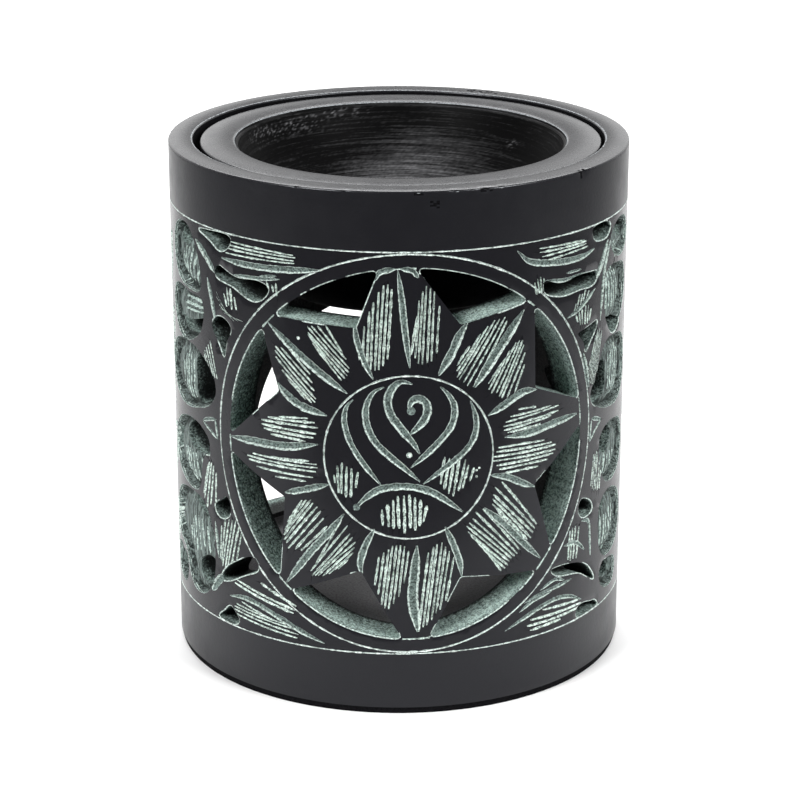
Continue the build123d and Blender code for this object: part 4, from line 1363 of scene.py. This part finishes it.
def carved_stone(name, pale, dark, share, sheen=0.25, streak=1.0):
    """Rough stone in two tones. A streak under 1 draws the grain out upwards."""
    material, tree, skin, where = nodes_of(name)
    stretch = tree.nodes.new("ShaderNodeMapping")
    stretch.inputs["Scale"].default_value = (2400, 2400, 2400 * streak)
    tree.links.new(where, stretch.inputs["Vector"])
    specks = noise(tree, stretch.outputs[0], 1.0, 4, 0.72)
    middle = tuple((a + b) / 2 for a, b in zip(pale, dark))
    colour = ramp(tree, specks, ((share - 0.07, dark), (share, middle), (share + 0.09, pale)))
    tree.links.new(colour, skin.inputs["Base Color"])
    skin.inputs["Roughness"].default_value = 0.8
    skin.inputs["Specular IOR Level"].default_value = sheen
    bump(tree, skin, specks, 0.5, 0.0003)
    return material


def turned_stone(name, tones):
    """Stone with fine turning marks round an upright axis."""
    material, tree, skin, where = nodes_of(name)
    stretch = tree.nodes.new("ShaderNodeMapping")
    stretch.inputs["Scale"].default_value = (60, 60, 2600)
    tree.links.new(where, stretch.inputs["Vector"])
    marks = noise(tree, stretch.outputs[0], 1.0, 4, 0.75)
    colour = ramp(tree, graded(tree, marks), [(at, (tone, tone, 1.04 * tone)) for at, tone in tones])
    tree.links.new(colour, skin.inputs["Base Color"])
    skin.inputs["Roughness"].default_value = 0.42
    skin.inputs["Specular IOR Level"].default_value = 0.02
    bump(tree, skin, marks, 0.25, 0.0002)
    return material


polished = polished_stone("polished_stone", 0.30, 0.38, 0.26, 0.12)
dull = polished_stone("dull_stone", 0.20, 0.27, 0.2, 0.06)
incised = carved_stone("incised_stone", (0.78, 0.86, 0.825), (0.17, 0.205, 0.19), 0.46)
hatched = carved_stone("hatched_stone", (0.80, 0.91, 0.85), (0.13, 0.167, 0.152), 0.47)
groove = carved_stone("grooved_stone", (0.21, 0.273, 0.252), (0.034, 0.045, 0.042), 0.49)
edge = carved_stone("edge_stone", (0.66, 0.77, 0.72), (0.12, 0.152, 0.14), 0.47)
reveal = dust_and_painted_light_stone("reveal_stone", ((0.008, 0.01, 0.0098), (0.05, 0.065, 0.061), (0.2, 0.262, 0.24),
                                      (0.48, 0.62, 0.57)))
# Painted shade for the deepest parts of the sunk leaves
recess_shade = carved_stone("recess_shade_stone", (0.05, 0.065, 0.06), (0.008, 0.0105, 0.01), 0.5)
leaf = carved_stone("leaf_stone", (0.2, 0.25, 0.235), (0.018, 0.023, 0.022), 0.51, streak=0.1)
scored = carved_stone("scored_stone", (0.6, 0.72, 0.67), (0.12, 0.155, 0.145), 0.47)
raw = carved_stone("chamber_stone", (0.03, 0.03, 0.031), (0.012, 0.012, 0.0125), 0.50)
# The chamber's raw stone painted paler on the floor: painted light
lit_chamber_floor = carved_stone("lit_floor_stone", (0.16, 0.16, 0.165), (0.09, 0.09, 0.093), 0.45)
# Near black and without sheen: painted shade in the gap below the rim, on the foot's lower edge, in chip
# pits and on the bowl's outside
matte_shade = carved_stone("matte_shade_stone", (0.006, 0.006, 0.007), (0.003, 0.003, 0.0035), 0.5, 0.03)
# Paler worn stone for the chips, also used for the painted highlights on the rim's inner edge and on the
# bowl's lip
worn = carved_stone("worn_and_highlight_stone", (0.32, 0.34, 0.355), (0.12, 0.128, 0.135), 0.47)
satin = polished_stone("satin_stone", 0.24, 0.30, 0.36, 0.03)
turned = turned_stone("turned_stone", ((0.4, 0.003), (0.55, 0.02), (0.7, 0.06), (0.85, 0.14)))

body = build_body([polished, dull, incised, hatched, groove, edge, reveal, recess_shade, leaf, scored, raw,
                   lit_chamber_floor, matte_shade, worn, satin])
bowl = build_bowl([satin, turned, matte_shade, worn])
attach(body, "body")
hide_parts("body")
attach(bowl, "bowl")
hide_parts("bowl")

# Studio: pale floor, white surround and soft light, in metres
FLOOR_HALF, FLOOR_NEAR, FLOOR_FAR = 0.26, -0.12, 1.6
floor_mesh = bpy.data.meshes.new("floor")
floor_mesh.from_pydata([(-FLOOR_HALF, FLOOR_NEAR, 0), (FLOOR_HALF, FLOOR_NEAR, 0),
                        (FLOOR_HALF, FLOOR_FAR, 0), (-FLOOR_HALF, FLOOR_FAR, 0)], [], [(0, 1, 2, 3)])
floor = bpy.data.objects.new("floor", floor_mesh)
bpy.context.scene.collection.objects.link(floor)
floor_look, _, floor_skin, _ = nodes_of("floor_paint")
floor_skin.inputs["Base Color"].default_value = (0.9, 0.9, 0.9, 1)
floor_skin.inputs["Roughness"].default_value = 0.9
floor_skin.inputs["Specular IOR Level"].default_value = 0.0
floor_mesh.materials.append(floor_look)


def between(tree, value, low, high=1.0):
    """Share of the way that a value lies between two bounds."""
    span = tree.nodes.new("ShaderNodeMapRange")
    tree.links.new(value, span.inputs["Value"])
    span.inputs["From Min"].default_value = low
    span.inputs["From Max"].default_value = high
    return span.outputs[0]


world = bpy.data.worlds.new("studio")
bpy.context.scene.world = world
world.use_nodes = True
sky = world.node_tree
shown = sky.nodes["Background"]
shown.inputs["Color"].default_value = (1, 1, 1, 1)
lit = sky.nodes.new("ShaderNodeBackground")
whither = sky.nodes.new("ShaderNodeTexCoord")
parts = sky.nodes.new("ShaderNodeSeparateXYZ")
sky.links.new(whither.outputs["Generated"], parts.inputs[0])
glow = ramp(sky, between(sky, parts.outputs["Y"], -1.0), greys((
    (0.0, 0.06), (0.28, 0.14), (0.5, 0.22), (0.7, 0.42), (0.88, 0.7), (1.0, 1.0))))
sky.links.new(glow, lit.inputs["Color"])
fall = ramp(sky, between(sky, parts.outputs["Z"], -1.0), greys((
    (0.0, 0.45), (0.5, 0.5), (0.53, 0.6), (0.58, 0.85), (0.61, 1.1), (0.64, 0.8), (0.7, 0.45), (0.8, 0.4),
    (1.0, 0.3))))
# The surround is darker straight behind the object
sides = ramp(sky, between(sky, parts.outputs["X"], -0.1, 0.2), greys((
    (0.0, 2.2), (0.2, 1.65), (0.3, 1.1), (0.42, 0.6), (0.55, 0.6), (0.68, 1.1), (0.76, 1.65), (1.0, 2.2))))
both = sky.nodes.new("ShaderNodeMath")
both.operation = "MULTIPLY"
sky.links.new(fall, both.inputs[0])
sky.links.new(sides, both.inputs[1])
sky.links.new(both.outputs[0], lit.inputs["Strength"])
path = sky.nodes.new("ShaderNodeLightPath")
either = sky.nodes.new("ShaderNodeMixShader")
sky.links.new(path.outputs["Is Camera Ray"], either.inputs[0])
sky.links.new(lit.outputs[0], either.inputs[1])
sky.links.new(shown.outputs[0], either.inputs[2])
sky.links.new(either.outputs[0], sky.nodes["World Output"].inputs[0])


def soft_lamp(name, place, aim, size, power):
    """A square area light."""
    lamp = bpy.data.lights.new(name, "AREA")
    lamp.shape = "SQUARE"
    lamp.size = size
    lamp.energy = power
    holder = bpy.data.objects.new(name, lamp)
    holder.location = place
    holder.rotation_mode = "QUATERNION"
    holder.rotation_quaternion = (Vector(aim) - Vector(place)).to_track_quat("-Z", "Y")
    bpy.context.scene.collection.objects.link(holder)


soft_lamp("back_light", (0.0, 0.75, 1.05), (0, 0.05, 0.0), 0.9, 18.0)
soft_lamp("left_light", (-0.6, -0.55, 0.6), (0, 0, 0.05), 0.35, 9.2)
soft_lamp("right_light", (0.62, -0.5, 0.55), (0, 0, 0.05), 0.35, 8.0)

# Camera as in the photograph
EYE_DISTANCE = 496.2
EYE_TURN = -2.473
EYE_HEIGHT = 216.1
PITCH = 18.842
LENS = 120.69
camera_data = bpy.data.cameras.new("camera")
camera_data.lens = LENS
camera_data.sensor_width = 36
camera_data.clip_start = 0.01
camera_data.clip_end = 50
camera = bpy.data.objects.new("camera", camera_data)
a = math.radians(EYE_TURN)
camera.location = (EYE_DISTANCE * math.sin(a) * MM, -EYE_DISTANCE * math.cos(a) * MM, EYE_HEIGHT * MM)
d, p = math.radians(FLOWER_TURN), math.radians(PITCH)
look = Vector((math.sin(d) * math.cos(p), math.cos(d) * math.cos(p), -math.sin(p)))
camera.rotation_mode = "QUATERNION"
camera.rotation_quaternion = look.to_track_quat("-Z", "Y")
bpy.context.scene.collection.objects.link(camera)
bpy.context.scene.camera = camera
bpy.context.scene.view_settings.view_transform = "Standard"
